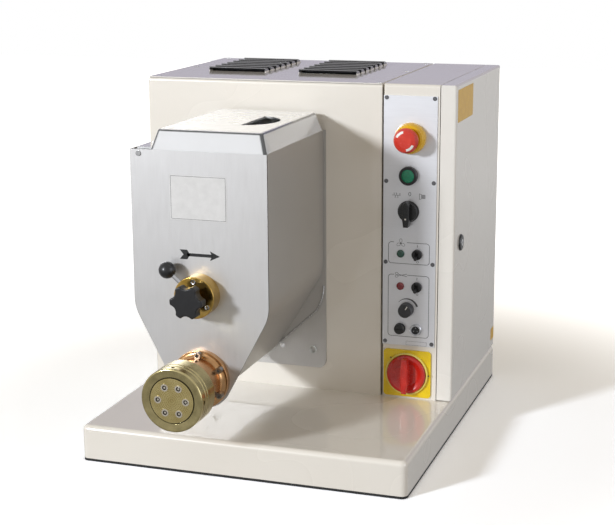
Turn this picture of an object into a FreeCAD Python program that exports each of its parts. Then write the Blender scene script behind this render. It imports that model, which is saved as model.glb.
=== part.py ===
import FreeCAD, Part
import math
import os
import re
import Sketcher
from FreeCAD import Placement, Rotation, Vector

# A table-top pasta extruder: a kneading hopper in front of a sheet-metal cabinet, all on a low base.
# Lengths are in millimetres and angles in degrees. Places are measured from the front left corner of
# the base on the table: x to the right, y to the back and z up. The whole is then set about the
# bottom centre of its box.
sizes = {
    # base
    "base_width": 530.0,
    "base_depth": 634.0,
    "base_height": 58.0,
    "base_sheet": 2.0,
    "base_bend": 8.0,
    "base_corner": 10.0,
    "edging_height": 4.0,
    "edging_width": 9.0,
    # cabinet
    "cabinet_front": 286.0,
    "rear_ledge": 5.0,
    "cabinet_top": 578.0,
    "cabinet_sheet": 1.5,
    "cabinet_bend": 5.0,
    "cabinet_flange": 16.0,
    "column_width": 92.4,
    "seam_gap": 2.4,
    "door_gap": 1.2,
    "door_depth": 25.4,
    "door_bend": 4.0,
    "door_lift": 1.5,
    "cover_sheet": 1.5,
    "cover_inset": 1.5,
    "rear_sheet": 1.5,
    # louvres pressed in the top cover
    "louvre_length": 104.0,
    "louvre_count": 7.0,
    "louvre_gap": 6.0,
    "louvre_rise": 7.0,
    "louvre_wall": 1.0,
    "louvre_first_left": 64.0,
    "louvre_second_left": 228.0,
    "louvre_setback": 116.0,
    "louvre_rear": 31.0,
    # door hinges and lock
    "hinge_knuckle": 4.5,
    "hinge_pin": 2.0,
    "hinge_leaf": 2.0,
    "hinge_reach": 24.0,
    "hinge_length": 60.0,
    "hinge_low": 120.0,
    "hinge_high": 460.0,
    "lock_setback": 45.0,
    "lock_height": 318.0,
    "lock_radius": 13.5,
    "lock_stand_out": 3.5,
    "lock_plug": 6.0,
    "lock_barrel": 9.0,
    "lock_arm": 37.0,
    "lock_arm_width": 9.0,
    "lock_arm_sheet": 2.5,
    # hopper
    "hopper_centre": 202.5,
    "hopper_front": 15.7,
    "hopper_top": 500.0,
    "front_plate_sheet": 3.0,
    "front_plate_half": 109.5,
    "front_plate_bend": 60.0,
    "front_plate_foot": 48.0,
    "front_plate_taper": 28.0,
    "back_plate_sheet": 3.0,
    "back_plate_half": 112.0,
    "back_plate_low": 97.0,
    "back_plate_corner": 14.0,
    "trough_sheet": 2.0,
    "trough_half": 108.0,
    "trough_bend": 80.0,
    "trough_foot": 33.0,
    "trough_taper": 32.0,
    # lid
    "lid_left": 126.0,
    "lid_right": 311.0,
    "lid_height": 30.0,
    "lid_slope": 9.0,
    "lid_wall": 3.0,
    "lid_round": 5.0,
    "lid_margin": 2.5,
    "lid_strip_left": 103.5,
    "lid_slot_left": 240.0,
    "lid_slot_width": 42.0,
    "lid_slot_length": 108.0,
    "lid_slot_middle": 150.0,
    "lid_rod_x": 107.5,
    "lid_rod_z": 493.7,
    "lid_rod": 4.0,
    "lid_knuckle": 6.3,
    "lid_knuckle_length": 30.0,
    # mixing shaft and its front bearing
    "mixer_height": 283.5,
    "shaft_radius": 12.5,
    "bearing_radius": 32.2,
    "bearing_length": 25.4,
    "bearing_boss": 10.0,
    "bearing_boss_length": 15.0,
    "support_pin": 8.0,
    "support_pin_seat": 20.0,
    "running_gap": 0.05,
    "free_gap": 0.4,
    "knob_radius": 26.0,
    "knob_length": 16.0,
    "knob_scallop": 11.0,
    "knob_scallop_depth": 5.5,
    "knob_lobes": 6.0,
    "pull_angle": 139.0,
    "pull_rod": 3.2,
    "pull_inset": 6.0,
    "pull_ball": 12.9,
    "pull_reach": 59.0,
    "paddle_reach": 97.0,
    "paddle_width": 22.0,
    "paddle_thick": 8.0,
    "paddle_tip": 44.0,
    "paddle_pitch": 48.0,
    "paddle_first": 62.0,
    # extruder barrel, die and auger
    "flange_radius": 45.4,
    "flange_thick": 9.0,
    "barrel_neck": 35.5,
    "barrel_neck_round": 8.6,
    "barrel_length": 103.7,
    "collar_radius": 41.0,
    "collar_length": 28.0,
    "bolt_circle": 39.8,
    "bolt_head": 5.0,
    "bolt_head_length": 10.0,
    "bolt_shank": 3.0,
    "bolt_count": 6.0,
    "auger_radius": 28.0,
    "auger_core": 10.0,
    "auger_pitch": 40.0,
    "flight_thick": 5.0,
    "die_flange": 5.0,
    "die_flange_radius": 40.4,
    "die_face_radius": 35.2,
    "die_face_rise": 6.0,
    "insert_circle": 22.0,
    "insert_radius": 5.6,
    "insert_hole": 3.4,
    "insert_core": 1.7,
    "insert_length": 8.0,
    "insert_count": 6.0,
    "nut_radius": 48.5,
    "nut_lip": 6.8,
    "nut_skirt": 37.0,
    "nut_groove": 1.5,
    "nut_groove_width": 3.0,
    "nut_round": 2.5,
    "nut_hole": 3.0,
    "nut_holes": 4.0,
    # gearing and motor
    "gear_module": 3.0,
    "mixer_teeth": 44.0,
    "auger_teeth": 44.0,
    "pinion_teeth": 20.0,
    "gear_width": 24.0,
    "tooth_backlash": 0.5,
    "case_gap": 4.0,
    "case_wall": 7.0,
    "case_cover": 8.0,
    "case_depth": 34.0,
    "case_back": 10.0,
    "case_foot_width": 120.0,
    "race_radius": 26.0,
    "motor_radius": 64.0,
    "motor_flange": 74.0,
    "motor_flange_thick": 12.0,
    "motor_clearance": 63.5,
    "motor_fins": 24.0,
    "motor_fin_depth": 5.0,
    "motor_shaft_depth": 30.0,
    # control panel
    "panel_margin_left": 1.0,
    "panel_margin_right": 3.4,
    "panel_low": 149.0,
    "panel_height": 411.0,
    "panel_sheet": 1.5,
    "panel_window_inset": 12.0,
    "shank_radius": 11.0,
    "shank_length": 38.0,
    "stop_inset": 46.0,
    "stop_z": 493.0,
    "stop_collar": 25.0,
    "stop_collar_depth": 18.0,
    "stop_head": 20.0,
    "stop_head_depth": 17.0,
    "stop_travel": 5.0,
    "stop_stem": 9.0,
    "start_inset": 43.3,
    "start_z": 432.2,
    "start_bezel": 15.0,
    "start_bezel_depth": 8.0,
    "start_lens": 10.8,
    "start_lens_depth": 4.5,
    "start_travel": 3.0,
    "selector_inset": 43.2,
    "selector_z": 373.7,
    "selector_radius": 17.5,
    "selector_depth": 6.0,
    "selector_bar": 11.0,
    "selector_bar_depth": 18.0,
    "selector_tail": 23.0,
    "lamp_inset": 30.9,
    "lamp_radius": 6.5,
    "lamp_depth": 4.0,
    "toggle_inset": 58.5,
    "toggle_radius": 8.5,
    "toggle_depth": 5.0,
    "toggle_lever": 2.6,
    "toggle_reach": 13.0,
    "upper_row": 303.3,
    "lower_row": 249.0,
    "speed_inset": 41.8,
    "speed_z": 210.4,
    "speed_radius": 12.2,
    "speed_depth": 14.0,
    "fuse_inset": 31.0,
    "socket_inset": 58.3,
    "bottom_row": 177.4,
    "fuse_radius": 9.2,
    "fuse_depth": 7.0,
    "socket_radius": 9.8,
    "socket_depth": 6.0,
    # main switch
    "switch_inset": 43.8,
    "switch_z": 101.2,
    "switch_plate": 80.0,
    "switch_plate_sheet": 2.5,
    "switch_plate_corner": 6.0,
    "switch_ring": 35.5,
    "switch_ring_depth": 4.0,
    "switch_handle": 32.5,
    "switch_handle_depth": 9.0,
    "switch_grip": 13.0,
    "switch_grip_depth": 14.0,
    "switch_stem": 6.0,
    "switch_block": 48.0,
    # electrical equipment and cable inlet
    "tray_sheet": 2.0,
    "tray_low": 95.0,
    "tray_height": 440.0,
    "tray_setback": 75.0,
    "tray_rear_gap": 38.0,
    "rail_depth": 7.5,
    "rail_width": 35.0,
    "rail_margin": 10.0,
    "contactor_depth": 58.0,
    "contactor_width": 45.0,
    "contactor_height": 76.0,
    "contactor_gap": 12.0,
    "contactor_setback": 30.0,
    "transformer_depth": 62.0,
    "transformer_width": 84.0,
    "transformer_height": 70.0,
    "transformer_setback": 70.0,
    "transformer_lip": 6.0,
    "terminal_depth": 40.0,
    "terminal_width": 150.0,
    "terminal_height": 44.0,
    "terminal_nose": 18.0,
    "terminal_setback": 40.0,
    "gland_radius": 12.0,
    "gland_bore": 5.0,
    "gland_length": 18.0,
    "gland_height": 96.0,
}

doc = FreeCAD.newDocument("PastaMaker")
sheet = doc.addObject("Spreadsheet::Sheet", "Sizes")
for row, (name, amount) in enumerate(sizes.items(), 1):
    sheet.set(f"A{row}", name)
    sheet.set(f"B{row}", str(amount))
    sheet.setAlias(f"B{row}", name)
doc.recompute()

pieces = []
words = re.compile(r"[a-z][a-z_]+")

# places that several pieces share
cabinet_back = "(base_depth - rear_ledge)"
cabinet_depth = "(base_depth - rear_ledge - cabinet_front)"
cabinet_crown = "(cabinet_top - cover_sheet)"
column_right = "(base_width - door_depth - door_gap)"
column_left = "(base_width - door_depth - door_gap - column_width)"
housing_width = "(base_width - door_depth - door_gap - column_width - seam_gap)"
door_left = "(base_width - door_depth)"
hinge_x = "(base_width - door_depth - door_gap / 2)"
hinge_y = "(base_depth - rear_ledge + hinge_knuckle + free_gap)"
trough_front = "(hopper_front + front_plate_sheet)"
trough_back = "(cabinet_front - back_plate_sheet)"
panel_face = "(cabinet_front - panel_sheet)"
panel_left = f"({column_left} + panel_margin_left)"
panel_right = f"({column_right} - panel_margin_right)"
stop_x = f"({column_left} + stop_inset)"
start_x = f"({column_left} + start_inset)"
selector_x = f"({column_left} + selector_inset)"
lamp_x = f"({column_left} + lamp_inset)"
toggle_x = f"({column_left} + toggle_inset)"
speed_x = f"({column_left} + speed_inset)"
fuse_x = f"({column_left} + fuse_inset)"
socket_x = f"({column_left} + socket_inset)"
switch_x = f"({column_left} + switch_inset)"
auger_height = "(mixer_height - gear_module * (mixer_teeth + auger_teeth) / 2)"
motor_height = "(mixer_height + gear_module * (mixer_teeth + pinion_teeth) / 2)"
barrel_mouth = "(hopper_front - barrel_length)"
nozzle_tip = "(hopper_front - barrel_length - die_flange - nut_lip)"
case_front = "(cabinet_front + cabinet_sheet)"
case_floor = "(cabinet_front + cabinet_sheet + case_cover + case_depth)"
case_end = "(cabinet_front + cabinet_sheet + case_cover + case_depth + case_back)"
case_half = "(gear_module * (max(mixer_teeth; auger_teeth) / 2 + 1) + case_gap + case_wall)"
motor_length = f"({cabinet_back} - motor_clearance - {case_end})"
middle_x = "((base_width + lock_stand_out) / 2)"
middle_y = f"(({hinge_y} + hinge_knuckle + {nozzle_tip}) / 2)"


def bound(text):
    """A formula whose size names point at the sheet's cells."""
    return words.sub(lambda m: "Sizes." + m.group() if m.group() in sizes else m.group(), str(text))


def value(text):
    return float(sheet.evalExpression(bound(text)))


def place(piece, x, y, z):
    for axis, text, middle in (("x", x, middle_x), ("y", y, middle_y), ("z", z, "0")):
        piece.setExpression("Placement.Base." + axis, bound(f"({text}) - {middle}"))


def new_body(name, x="0", y="0", z="0"):
    body = doc.addObject("PartDesign::Body", name)
    body.Label = name
    body.AllowCompound = True
    place(body, x, y, z)
    pieces.append(body)
    return body


def origin_of(body, role):
    return next(f for f in body.Origin.OriginFeatures if f.Role == role)


def sketch(body, plane, level="0", turn=0, tilt=0):
    made = body.newObject("Sketcher::SketchObject", body.Label + "_sketch")
    made.AttachmentSupport = [(origin_of(body, plane + "_Plane"), "")]
    made.MapMode = "FlatFace"
    turned_by = Rotation(Vector(1, 0, 0), tilt).multiply(Rotation(Vector(0, 0, 1), turn))
    made.AttachmentOffset = Placement(Vector(0, 0, value(level)), turned_by)
    made.setExpression("AttachmentOffset.Base.z", bound(level))
    return made


def pin(made, geometry, point, u, v):
    for kind, text, own_axis in (("DistanceX", u, -2), ("DistanceY", v, -1)):
        amount = value(text)
        if abs(amount) < 1e-9:
            made.addConstraint(Sketcher.Constraint("PointOnObject", geometry, point, own_axis))
        else:
            number = made.addConstraint(Sketcher.Constraint(kind, -1, 1, geometry, point, amount))
            made.setExpression(f"Constraints[{number}]", bound(text))


def outline(body, plane, points, level="0", turn=0, tilt=0):
    made = sketch(body, plane, level, turn, tilt)
    corners = [Vector(value(u), value(v), 0) for u, v in points]
    count = len(corners)
    for i in range(count):
        made.addGeometry(Part.LineSegment(corners[i], corners[(i + 1) % count]), False)
    for i in range(count):
        made.addConstraint(Sketcher.Constraint("Coincident", i, 2, (i + 1) % count, 1))
    for i, (u, v) in enumerate(points):
        pin(made, i, 1, u, v)
    return made


def rectangle(body, plane, low, high, level="0", turn=0):
    corners = [low, (high[0], low[1]), high, (low[0], high[1])]
    return outline(body, plane, corners, level, turn)


def circles(body, plane, radius, spots, level="0", tilt=0):
    made = sketch(body, plane, level, 0, tilt)
    for i, (u, v) in enumerate(spots):
        made.addGeometry(Part.Circle(Vector(value(u), value(v), 0), Vector(0, 0, 1), value(radius)), False)
        pin(made, i, 3, u, v)
        number = made.addConstraint(Sketcher.Constraint("Radius", i, value(radius)))
        made.setExpression(f"Constraints[{number}]", bound(radius))
    return made


def feature(body, kind, profile, **settings):
    made = body.newObject("PartDesign::" + kind, body.Label + "_" + kind.lower())
    made.Profile = profile
    for name, setting in settings.items():
        setattr(made, name, setting)
    return made


def pad(body, profile, length, both=False):
    """Material along the sketch's normal, or half of it on each side."""
    made = feature(body, "Pad", profile, SideType="Symmetric" if both else "One side")
    made.setExpression("Length", bound(length))
    return made


def pocket(body, profile, depth=None, forward=True):
    """A cut along the sketch's normal, or right through the piece."""
    if depth is None:
        return feature(body, "Pocket", profile, Type="ThroughAll", SideType="Symmetric")
    made = feature(body, "Pocket", profile, Reversed=forward)
    made.setExpression("Length", bound(depth))
    return made


def revolve(body, profile, axis="V_Axis", kind="Revolution"):
    return feature(body, kind, profile, ReferenceAxis=(profile, [axis]), Angle=360.0)


def polar(body, features, count, axis="Y_Axis"):
    made = body.newObject("PartDesign::PolarPattern", body.Label + "_ring")
    made.Originals = features
    made.Axis = (origin_of(body, axis), [""])
    made.Angle = 360.0
    made.setExpression("Occurrences", bound(count))
    body.Tip = made
    return made


def linear(body, features, count, pitch, axis="Y_Axis"):
    made = body.newObject("PartDesign::LinearPattern", body.Label + "_row")
    made.Originals = features
    made.Direction = (origin_of(body, axis), [""])
    made.setExpression("Length", bound(f"({count} - 1) * ({pitch})"))
    made.setExpression("Occurrences", bound(count))
    body.Tip = made
    return made


def straight(axis, **at):
    """Straight edges along an axis, with their middles at the given places."""
    def pick(edge):
        if edge.Curve.TypeId != "Part::GeomLine" or abs(getattr(edge.Curve.Direction, axis)) < 0.999:
            return False
        return all(abs(getattr(edge.CenterOfMass, k) - value(v)) < 0.02 for k, v in at.items())
    return pick


def level_with(axis, text):
    """Edges that lie in one plane across an axis."""
    def pick(edge):
        spots = [v.Point for v in edge.Vertexes] + [edge.CenterOfMass]
        return all(abs(getattr(p, axis) - value(text)) < 0.02 for p in spots)
    return pick


def ring(radius, y):
    """Circular edges about the piece's own y axis."""
    def pick(edge):
        if edge.Curve.TypeId != "Part::GeomCircle" or abs(edge.Curve.Radius - value(radius)) > 0.02:
            return False
        return abs(edge.Curve.Center.y - value(y)) < 0.02
    return pick


def soften(body, radius, *picks, kind="Fillet"):
    doc.recompute()
    base = body.Tip
    edges = [f"Edge{n}" for n, e in enumerate(base.Shape.Edges, 1) if any(p(e) for p in picks)]
    made = body.newObject("PartDesign::" + kind, body.Label + "_" + kind.lower())
    made.Base = (base, edges)
    made.setExpression("Radius" if kind == "Fillet" else "Size", bound(radius))
    return made


def hollow(body, wall, *open_sides):
    """A shell of one wall, open where a flat face looks along one of the given directions."""
    doc.recompute()
    base = body.Tip
    faces = []
    for n, face in enumerate(base.Shape.Faces, 1):
        if face.Surface.TypeId != "Part::GeomPlane":
            continue
        if any(face.normalAt(0, 0).dot(side) > 0.999 for side in open_sides):
            faces.append(f"Face{n}")
    made = body.newObject("PartDesign::Thickness", body.Label + "_shell")
    made.Base = (base, faces)
    made.Reversed = True
    made.setExpression("Value", bound(wall))
    return made


def turned(name, points, x, z):
    """A piece turned about an axis that runs front to back: each point is a radius and a place y."""
    body = new_body(name, x, "0", z)
    revolve(body, outline(body, "XY", points))
    return body


def box_piece(name, low, high):
    body = new_body(name, *low)
    width, depth, height = (f"({b}) - ({a})" for a, b in zip(low, high))
    pad(body, rectangle(body, "XY", ("0", "0"), (width, depth)), height)
    return body


def trough_corners(half, foot, taper, top):
    """A U that narrows to a round foot about the auger's axis, which is the sketch's origin."""
    inner = f"{foot} * (1 - sin({taper})) / cos({taper})"
    knee = f"({half} * cos({taper}) - {foot}) / sin({taper})"
    right = [(inner, f"-{foot}"), (half, knee), (half, top)]
    left = [(f"-({u})", v) for u, v in reversed(right)]
    return right + left, knee


# base
base_tray = box_piece(
    "base_tray", ("0", "0", "edging_height"), ("base_width", "base_depth", "base_height")
)
soften(base_tray, "base_corner", straight("z"))
soften(base_tray, "base_bend", level_with("z", "base_height - edging_height"))
hollow(base_tray, "base_sheet", Vector(0, 0, -1))

base_edging = new_body("base_edging")
pad(base_edging, rectangle(base_edging, "XY", ("0", "0"), ("base_width", "base_depth")), "edging_height")
soften(base_edging, "base_corner", straight("z"))
pocket(base_edging, rectangle(
    base_edging, "XY", ("edging_width", "edging_width"),
    ("base_width - edging_width", "base_depth - edging_width"),
))

# cabinet: the housing of the gearing, the column of the controls and the door of the column
housing_depth = f"({cabinet_depth} - rear_sheet)"
main_housing = box_piece(
    "main_housing", ("0", "cabinet_front", "base_height"),
    (housing_width, f"{cabinet_back} - rear_sheet", cabinet_crown),
)
crown = f"({cabinet_crown} - base_height)"
soften(
    main_housing, "cabinet_bend", straight("z", x="0", y="0"),
    straight("x", y="0", z=crown), straight("y", x="0", z=crown),
)
hollow(main_housing, "cabinet_sheet", Vector(0, 0, -1))
pocket(main_housing, rectangle(
    main_housing, "XY", ("cabinet_flange", "cabinet_flange"),
    (f"{housing_width} - cabinet_flange", f"{housing_depth} - cabinet_flange"),
    f"{crown} - 3 * cabinet_sheet",
), "6 * cabinet_sheet")
pocket(main_housing, rectangle(
    main_housing, "XZ", ("cabinet_flange", "cabinet_flange"),
    (f"{housing_width} - cabinet_flange", f"{crown} - cabinet_flange"), f"-({housing_depth} + cabinet_sheet)",
), "3 * cabinet_sheet")
pocket(main_housing, circles(
    main_housing, "XZ", "shaft_radius + 6 * free_gap",
    [("hopper_centre", "mixer_height - base_height"), ("hopper_centre", f"{auger_height} - base_height")],
    "-2 * cabinet_sheet",
), "4 * cabinet_sheet")

top_cover = box_piece(
    "top_cover", ("cover_inset", "cabinet_front + cover_inset", cabinet_crown),
    (f"{housing_width} - cover_inset", cabinet_back, "cabinet_top"),
)
soften(top_cover, "cover_inset", straight("z"))
louvre_pitch = f"(({cabinet_depth} - louvre_setback - louvre_rear) / louvre_count)"
louvre_run = f"({louvre_pitch} - louvre_gap)"
for left in ("louvre_first_left", "louvre_second_left"):
    start = "louvre_setback - cover_inset"
    hood = pad(top_cover, outline(top_cover, "YZ", [
        (start, "0"), (start, "cover_sheet + louvre_rise - 1"), (f"{start} + 2", "cover_sheet + louvre_rise"),
        (f"{start} + {louvre_run} / 2", "cover_sheet + louvre_rise * 0.75"), (f"{start} + {louvre_run}", "0"),
    ], f"{left} - cover_inset"), "louvre_length")
    mouth = pocket(top_cover, outline(top_cover, "YZ", [
        (f"{start} - 1", "-1"), (f"{start} - 1", "cover_sheet + louvre_rise - 1 - louvre_wall"),
        (f"{start} + 2", "cover_sheet + louvre_rise - louvre_wall"),
        (f"{start} + {louvre_run} / 2 - louvre_wall", "cover_sheet + louvre_rise * 0.75 - louvre_wall"),
        (f"{start} + {louvre_run} - 4 * louvre_wall", "-1"),
    ], f"{left} - cover_inset + louvre_wall"), "louvre_length - 2 * louvre_wall")
    linear(top_cover, [hood, mouth], "louvre_count", louvre_pitch)

rear_cover = box_piece(
    "rear_cover", ("cover_inset", f"{cabinet_back} - rear_sheet", "base_height + cover_inset"),
    (f"{housing_width} - cover_inset", cabinet_back, f"{cabinet_crown} - cover_inset"),
)
soften(rear_cover, "cabinet_bend", straight("y"))

column_height = "(cabinet_top - base_height)"
control_column = box_piece(
    "control_column", (column_left, "cabinet_front", "base_height"),
    (column_right, cabinet_back, "cabinet_top"),
)
soften(
    control_column, "cabinet_bend", straight("z", x="0", y="0"), straight("x", y="0", z=column_height),
)
hollow(control_column, "cabinet_sheet", Vector(1, 0, 0))
frame_level = "column_width - cabinet_sheet"
rim = rectangle(
    control_column, "YZ", ("cabinet_sheet", "cabinet_sheet"),
    (f"{cabinet_depth} - cabinet_sheet", f"{column_height} - cabinet_sheet"), frame_level,
)
pad(control_column, rim, "cabinet_sheet")
pocket(control_column, rectangle(
    control_column, "YZ", ("cabinet_flange", "cabinet_flange"),
    (f"{cabinet_depth} - cabinet_flange", f"{column_height} - cabinet_flange"),
    "column_width - 3 * cabinet_sheet",
), "6 * cabinet_sheet")
window_left = "(panel_margin_left + panel_window_inset)"
pocket(control_column, rectangle(
    control_column, "XZ", (window_left, "panel_low + panel_window_inset - base_height"),
    ("column_width - panel_margin_right - panel_window_inset",
     "panel_low + panel_height - panel_window_inset - base_height"), "-3 * cabinet_sheet",
), "6 * cabinet_sheet")
pocket(control_column, circles(
    control_column, "XZ", "switch_stem + 2", [("switch_inset", "switch_z - base_height")],
    "-3 * cabinet_sheet",
), "6 * cabinet_sheet")
pocket(control_column, circles(
    control_column, "XZ", "gland_radius - 2",
    [("column_width / 2", "gland_height - base_height")], f"-({cabinet_depth} + cabinet_sheet)",
), "3 * cabinet_sheet")

side_door = box_piece(
    "side_door", (door_left, "cabinet_front", "base_height + door_lift"),
    ("base_width", cabinet_back, "cabinet_top"),
)
soften(
    side_door, "door_bend", straight("z", x="door_depth"),
    level_with("x", "door_depth"),
)
hollow(side_door, "cabinet_sheet", Vector(-1, 0, 0))
pocket(side_door, circles(
    side_door, "YZ", "lock_barrel + running_gap",
    [("lock_setback", "lock_height - base_height - door_lift")], "door_depth - 3 * cabinet_sheet",
), "6 * cabinet_sheet")

# the hinges' lower knuckles and pins stay on the column, the upper knuckles swing with the door
leaf_near = f"{cabinet_back} - {hinge_y}"
fixed_leaves = new_body("hinge_leaves", hinge_x, hinge_y)
door_straps = new_body("hinge_straps", hinge_x, hinge_y)
for low in ("hinge_low", "hinge_high"):
    pad(fixed_leaves, circles(fixed_leaves, "XY", "hinge_knuckle", [("0", "0")], low), "hinge_length / 2")
    pad(fixed_leaves, rectangle(
        fixed_leaves, "XY", ("-hinge_reach", leaf_near), ("0", f"{leaf_near} + hinge_leaf"), low,
    ), "hinge_length / 2")
    pad(fixed_leaves, circles(
        fixed_leaves, "XY", "hinge_pin", [("0", "0")], f"{low} + hinge_length / 2"), "hinge_length / 2")
    upper = f"{low} + hinge_length / 2 + free_gap / 2"
    half = "hinge_length / 2 - free_gap / 2"
    pad(door_straps, circles(door_straps, "XY", "hinge_knuckle", [("0", "0")], upper), half)
    pad(door_straps, rectangle(
        door_straps, "XY", ("0", leaf_near), ("hinge_reach", f"{leaf_near} + hinge_leaf"), upper,
    ), half)
pocket(door_straps, circles(door_straps, "XY", "hinge_pin + running_gap", [("0", "0")]))

lock_y = "(cabinet_front + lock_setback)"
lock_case = new_body("lock_case", "base_width", lock_y, "lock_height")
revolve(lock_case, outline(lock_case, "XY", [
    ("0", "lock_plug + running_gap"), ("lock_stand_out - 0.5", "lock_plug + running_gap"),
    ("lock_stand_out - 0.5", "lock_radius - 1.5"), ("1.5", "lock_radius"), ("0", "lock_radius"),
    ("0", "lock_barrel"), ("-0.7 * door_depth", "lock_barrel"),
    ("-0.7 * door_depth", "lock_plug + running_gap"),
]), "H_Axis")
lock_plug = new_body("lock_plug", "base_width", lock_y, "lock_height")
arm_right = f"({column_right} - 2 * cabinet_sheet - free_gap - base_width)"
stem = circles(lock_plug, "YZ", "lock_plug", [("0", "0")], arm_right)
pad(lock_plug, stem, f"lock_stand_out - {arm_right}")
pad(lock_plug, rectangle(
    lock_plug, "YZ", ("-lock_arm_width / 2", "-lock_arm_width / 2"), ("lock_arm_width / 2", "lock_arm"),
    f"{arm_right} - lock_arm_sheet",
), "lock_arm_sheet")
pocket(lock_plug, circles(lock_plug, "YZ", "lock_plug / 3", [("0", "0")], "0"), "2 * lock_stand_out")

# hopper: a folded trough between a thick front plate and the plate on the cabinet
front_corners, front_knee = trough_corners(
    "front_plate_half", "front_plate_foot", "front_plate_taper", f"hopper_top - {auger_height}"
)
front_plate = new_body("hopper_front_plate", "hopper_centre", "0", auger_height)
pad(front_plate, outline(front_plate, "XZ", front_corners, f"-{trough_front}"), "front_plate_sheet")
soften(front_plate, "front_plate_bend", straight("y", z=front_knee))
soften(front_plate, "front_plate_foot - 0.5", straight("y", z="-front_plate_foot"))
pocket(front_plate, circles(front_plate, "XZ", "auger_radius + free_gap", [("0", "0")]))
pocket(front_plate, circles(
    front_plate, "XZ", "support_pin + free_gap", [("0", f"mixer_height - {auger_height}")]))
pocket(front_plate, circles(
    front_plate, "XZ", "lid_rod + 0.02", [("lid_rod_x - hopper_centre", f"lid_rod_z - {auger_height}")]))

trough_profile, trough_knee = trough_corners(
    "trough_half", "trough_foot", "trough_taper", f"hopper_top - {auger_height}"
)
hopper_trough = new_body("hopper_trough", "hopper_centre", "0", auger_height)
pad(
    hopper_trough, outline(hopper_trough, "XZ", trough_profile, f"-{trough_back}"),
    f"{trough_back} - {trough_front}",
)
soften(hopper_trough, "trough_bend", straight("y", z=trough_knee))
soften(hopper_trough, "trough_foot - 0.5", straight("y", z="-trough_foot"))
hollow(hopper_trough, "trough_sheet", Vector(0, 0, 1), Vector(0, 1, 0), Vector(0, -1, 0))

back_plate = new_body("hopper_back_plate", "hopper_centre", "0", auger_height)
pad(back_plate, rectangle(
    back_plate, "XZ", ("-back_plate_half", f"back_plate_low - {auger_height}"),
    ("back_plate_half", f"hopper_top - {auger_height}"), "-cabinet_front",
), "back_plate_sheet")
soften(back_plate, "back_plate_corner", straight("y", z=f"back_plate_low - {auger_height}"))
pocket(back_plate, circles(
    back_plate, "XZ", "shaft_radius + 4 * free_gap", [("0", "0"), ("0", f"mixer_height - {auger_height}")]))
shaft_seals = new_body("shaft_seals", "hopper_centre", "0", auger_height)
shaft_spots = [("0", "0"), ("0", f"mixer_height - {auger_height}")]
pad(shaft_seals, circles(
    shaft_seals, "XZ", "shaft_radius + 4 * free_gap", shaft_spots, "-cabinet_front"), "back_plate_sheet")
pocket(shaft_seals, circles(shaft_seals, "XZ", "shaft_radius + running_gap", shaft_spots))

# lid: a clear moulded hood with a hand slot, on a rod along the hopper's left side
lid = new_body("lid", "0", "0", "hopper_top")
lid_near = "hopper_front"
lid_far = f"({trough_back} - free_gap)"
hood = pad(lid, rectangle(lid, "XY", ("lid_left", lid_near), ("lid_right", lid_far)), "lid_height")
hood.setExpression("TaperAngle", bound("-atan(lid_slope / lid_height)"))


def slanted(edge):
    return edge.BoundBox.ZLength > value("lid_height") / 2


soften(lid, "lid_round * 1.5", slanted)
soften(lid, "lid_round", level_with("z", "lid_height"))
room = pocket(lid, rectangle(
    lid, "XY", ("lid_left + lid_wall", f"{lid_near} + lid_wall"),
    ("lid_right - lid_wall", f"{lid_far} - lid_wall")), "lid_height - lid_wall")
room.setExpression("TaperAngle", bound("-atan(lid_slope / lid_height)"))
pad(lid, rectangle(
    lid, "XY", ("lid_strip_left", f"{trough_front} + lid_margin"),
    ("lid_left + lid_wall * 0.8", f"{lid_far} - lid_margin"),
), "lid_wall")
slot_half = "lid_slot_length / 2"
slot = sketch(lid, "XY", "lid_height - 3 * lid_wall")
slot_low = Vector(value("lid_slot_left"), value(f"lid_slot_middle - {slot_half}"), 0)
slot_far = Vector(value("lid_slot_left + lid_slot_width"), value("lid_slot_middle"), 0)
slot_high = Vector(value("lid_slot_left"), value(f"lid_slot_middle + {slot_half}"), 0)
slot.addGeometry(Part.Arc(slot_low, slot_far, slot_high), False)
slot.addGeometry(Part.LineSegment(slot_high, slot_low), False)
slot.addConstraint(Sketcher.Constraint("Coincident", 0, 2, 1, 1))
slot.addConstraint(Sketcher.Constraint("Coincident", 1, 2, 0, 1))
pin(slot, 1, 1, "lid_slot_left", f"lid_slot_middle + {slot_half}")
pin(slot, 1, 2, "lid_slot_left", f"lid_slot_middle - {slot_half}")
bulge = f"(lid_slot_width / 2 + pow({slot_half}; 2) / (2 * lid_slot_width))"
number = slot.addConstraint(Sketcher.Constraint("Radius", 0, value(bulge)))
slot.setExpression(f"Constraints[{number}]", bound(bulge))
pocket(lid, slot, "6 * lid_wall")
rod_rise = "lid_rod_z - hopper_top"
for start in (f"{trough_front} + lid_margin", f"{lid_far} - lid_margin - lid_knuckle_length"):
    pad(lid, circles(
        lid, "XZ", "lid_knuckle", [("lid_rod_x", rod_rise)], f"-({start} + lid_knuckle_length)"),
        "lid_knuckle_length")
    pad(lid, rectangle(
        lid, "XZ", ("lid_rod_x - lid_rod", rod_rise), ("lid_rod_x + lid_rod", "1"),
        f"-({start} + lid_knuckle_length)"), "lid_knuckle_length")
pocket(lid, circles(lid, "XZ", "lid_rod + running_gap", [("lid_rod_x", rod_rise)]))

lid_rod = turned("lid_rod", [
    ("0", "hopper_front - 1.5"), ("lid_rod", "hopper_front - 1.5"), ("lid_rod", trough_back),
    ("0", trough_back),
], "lid_rod_x", "lid_rod_z")

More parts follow.
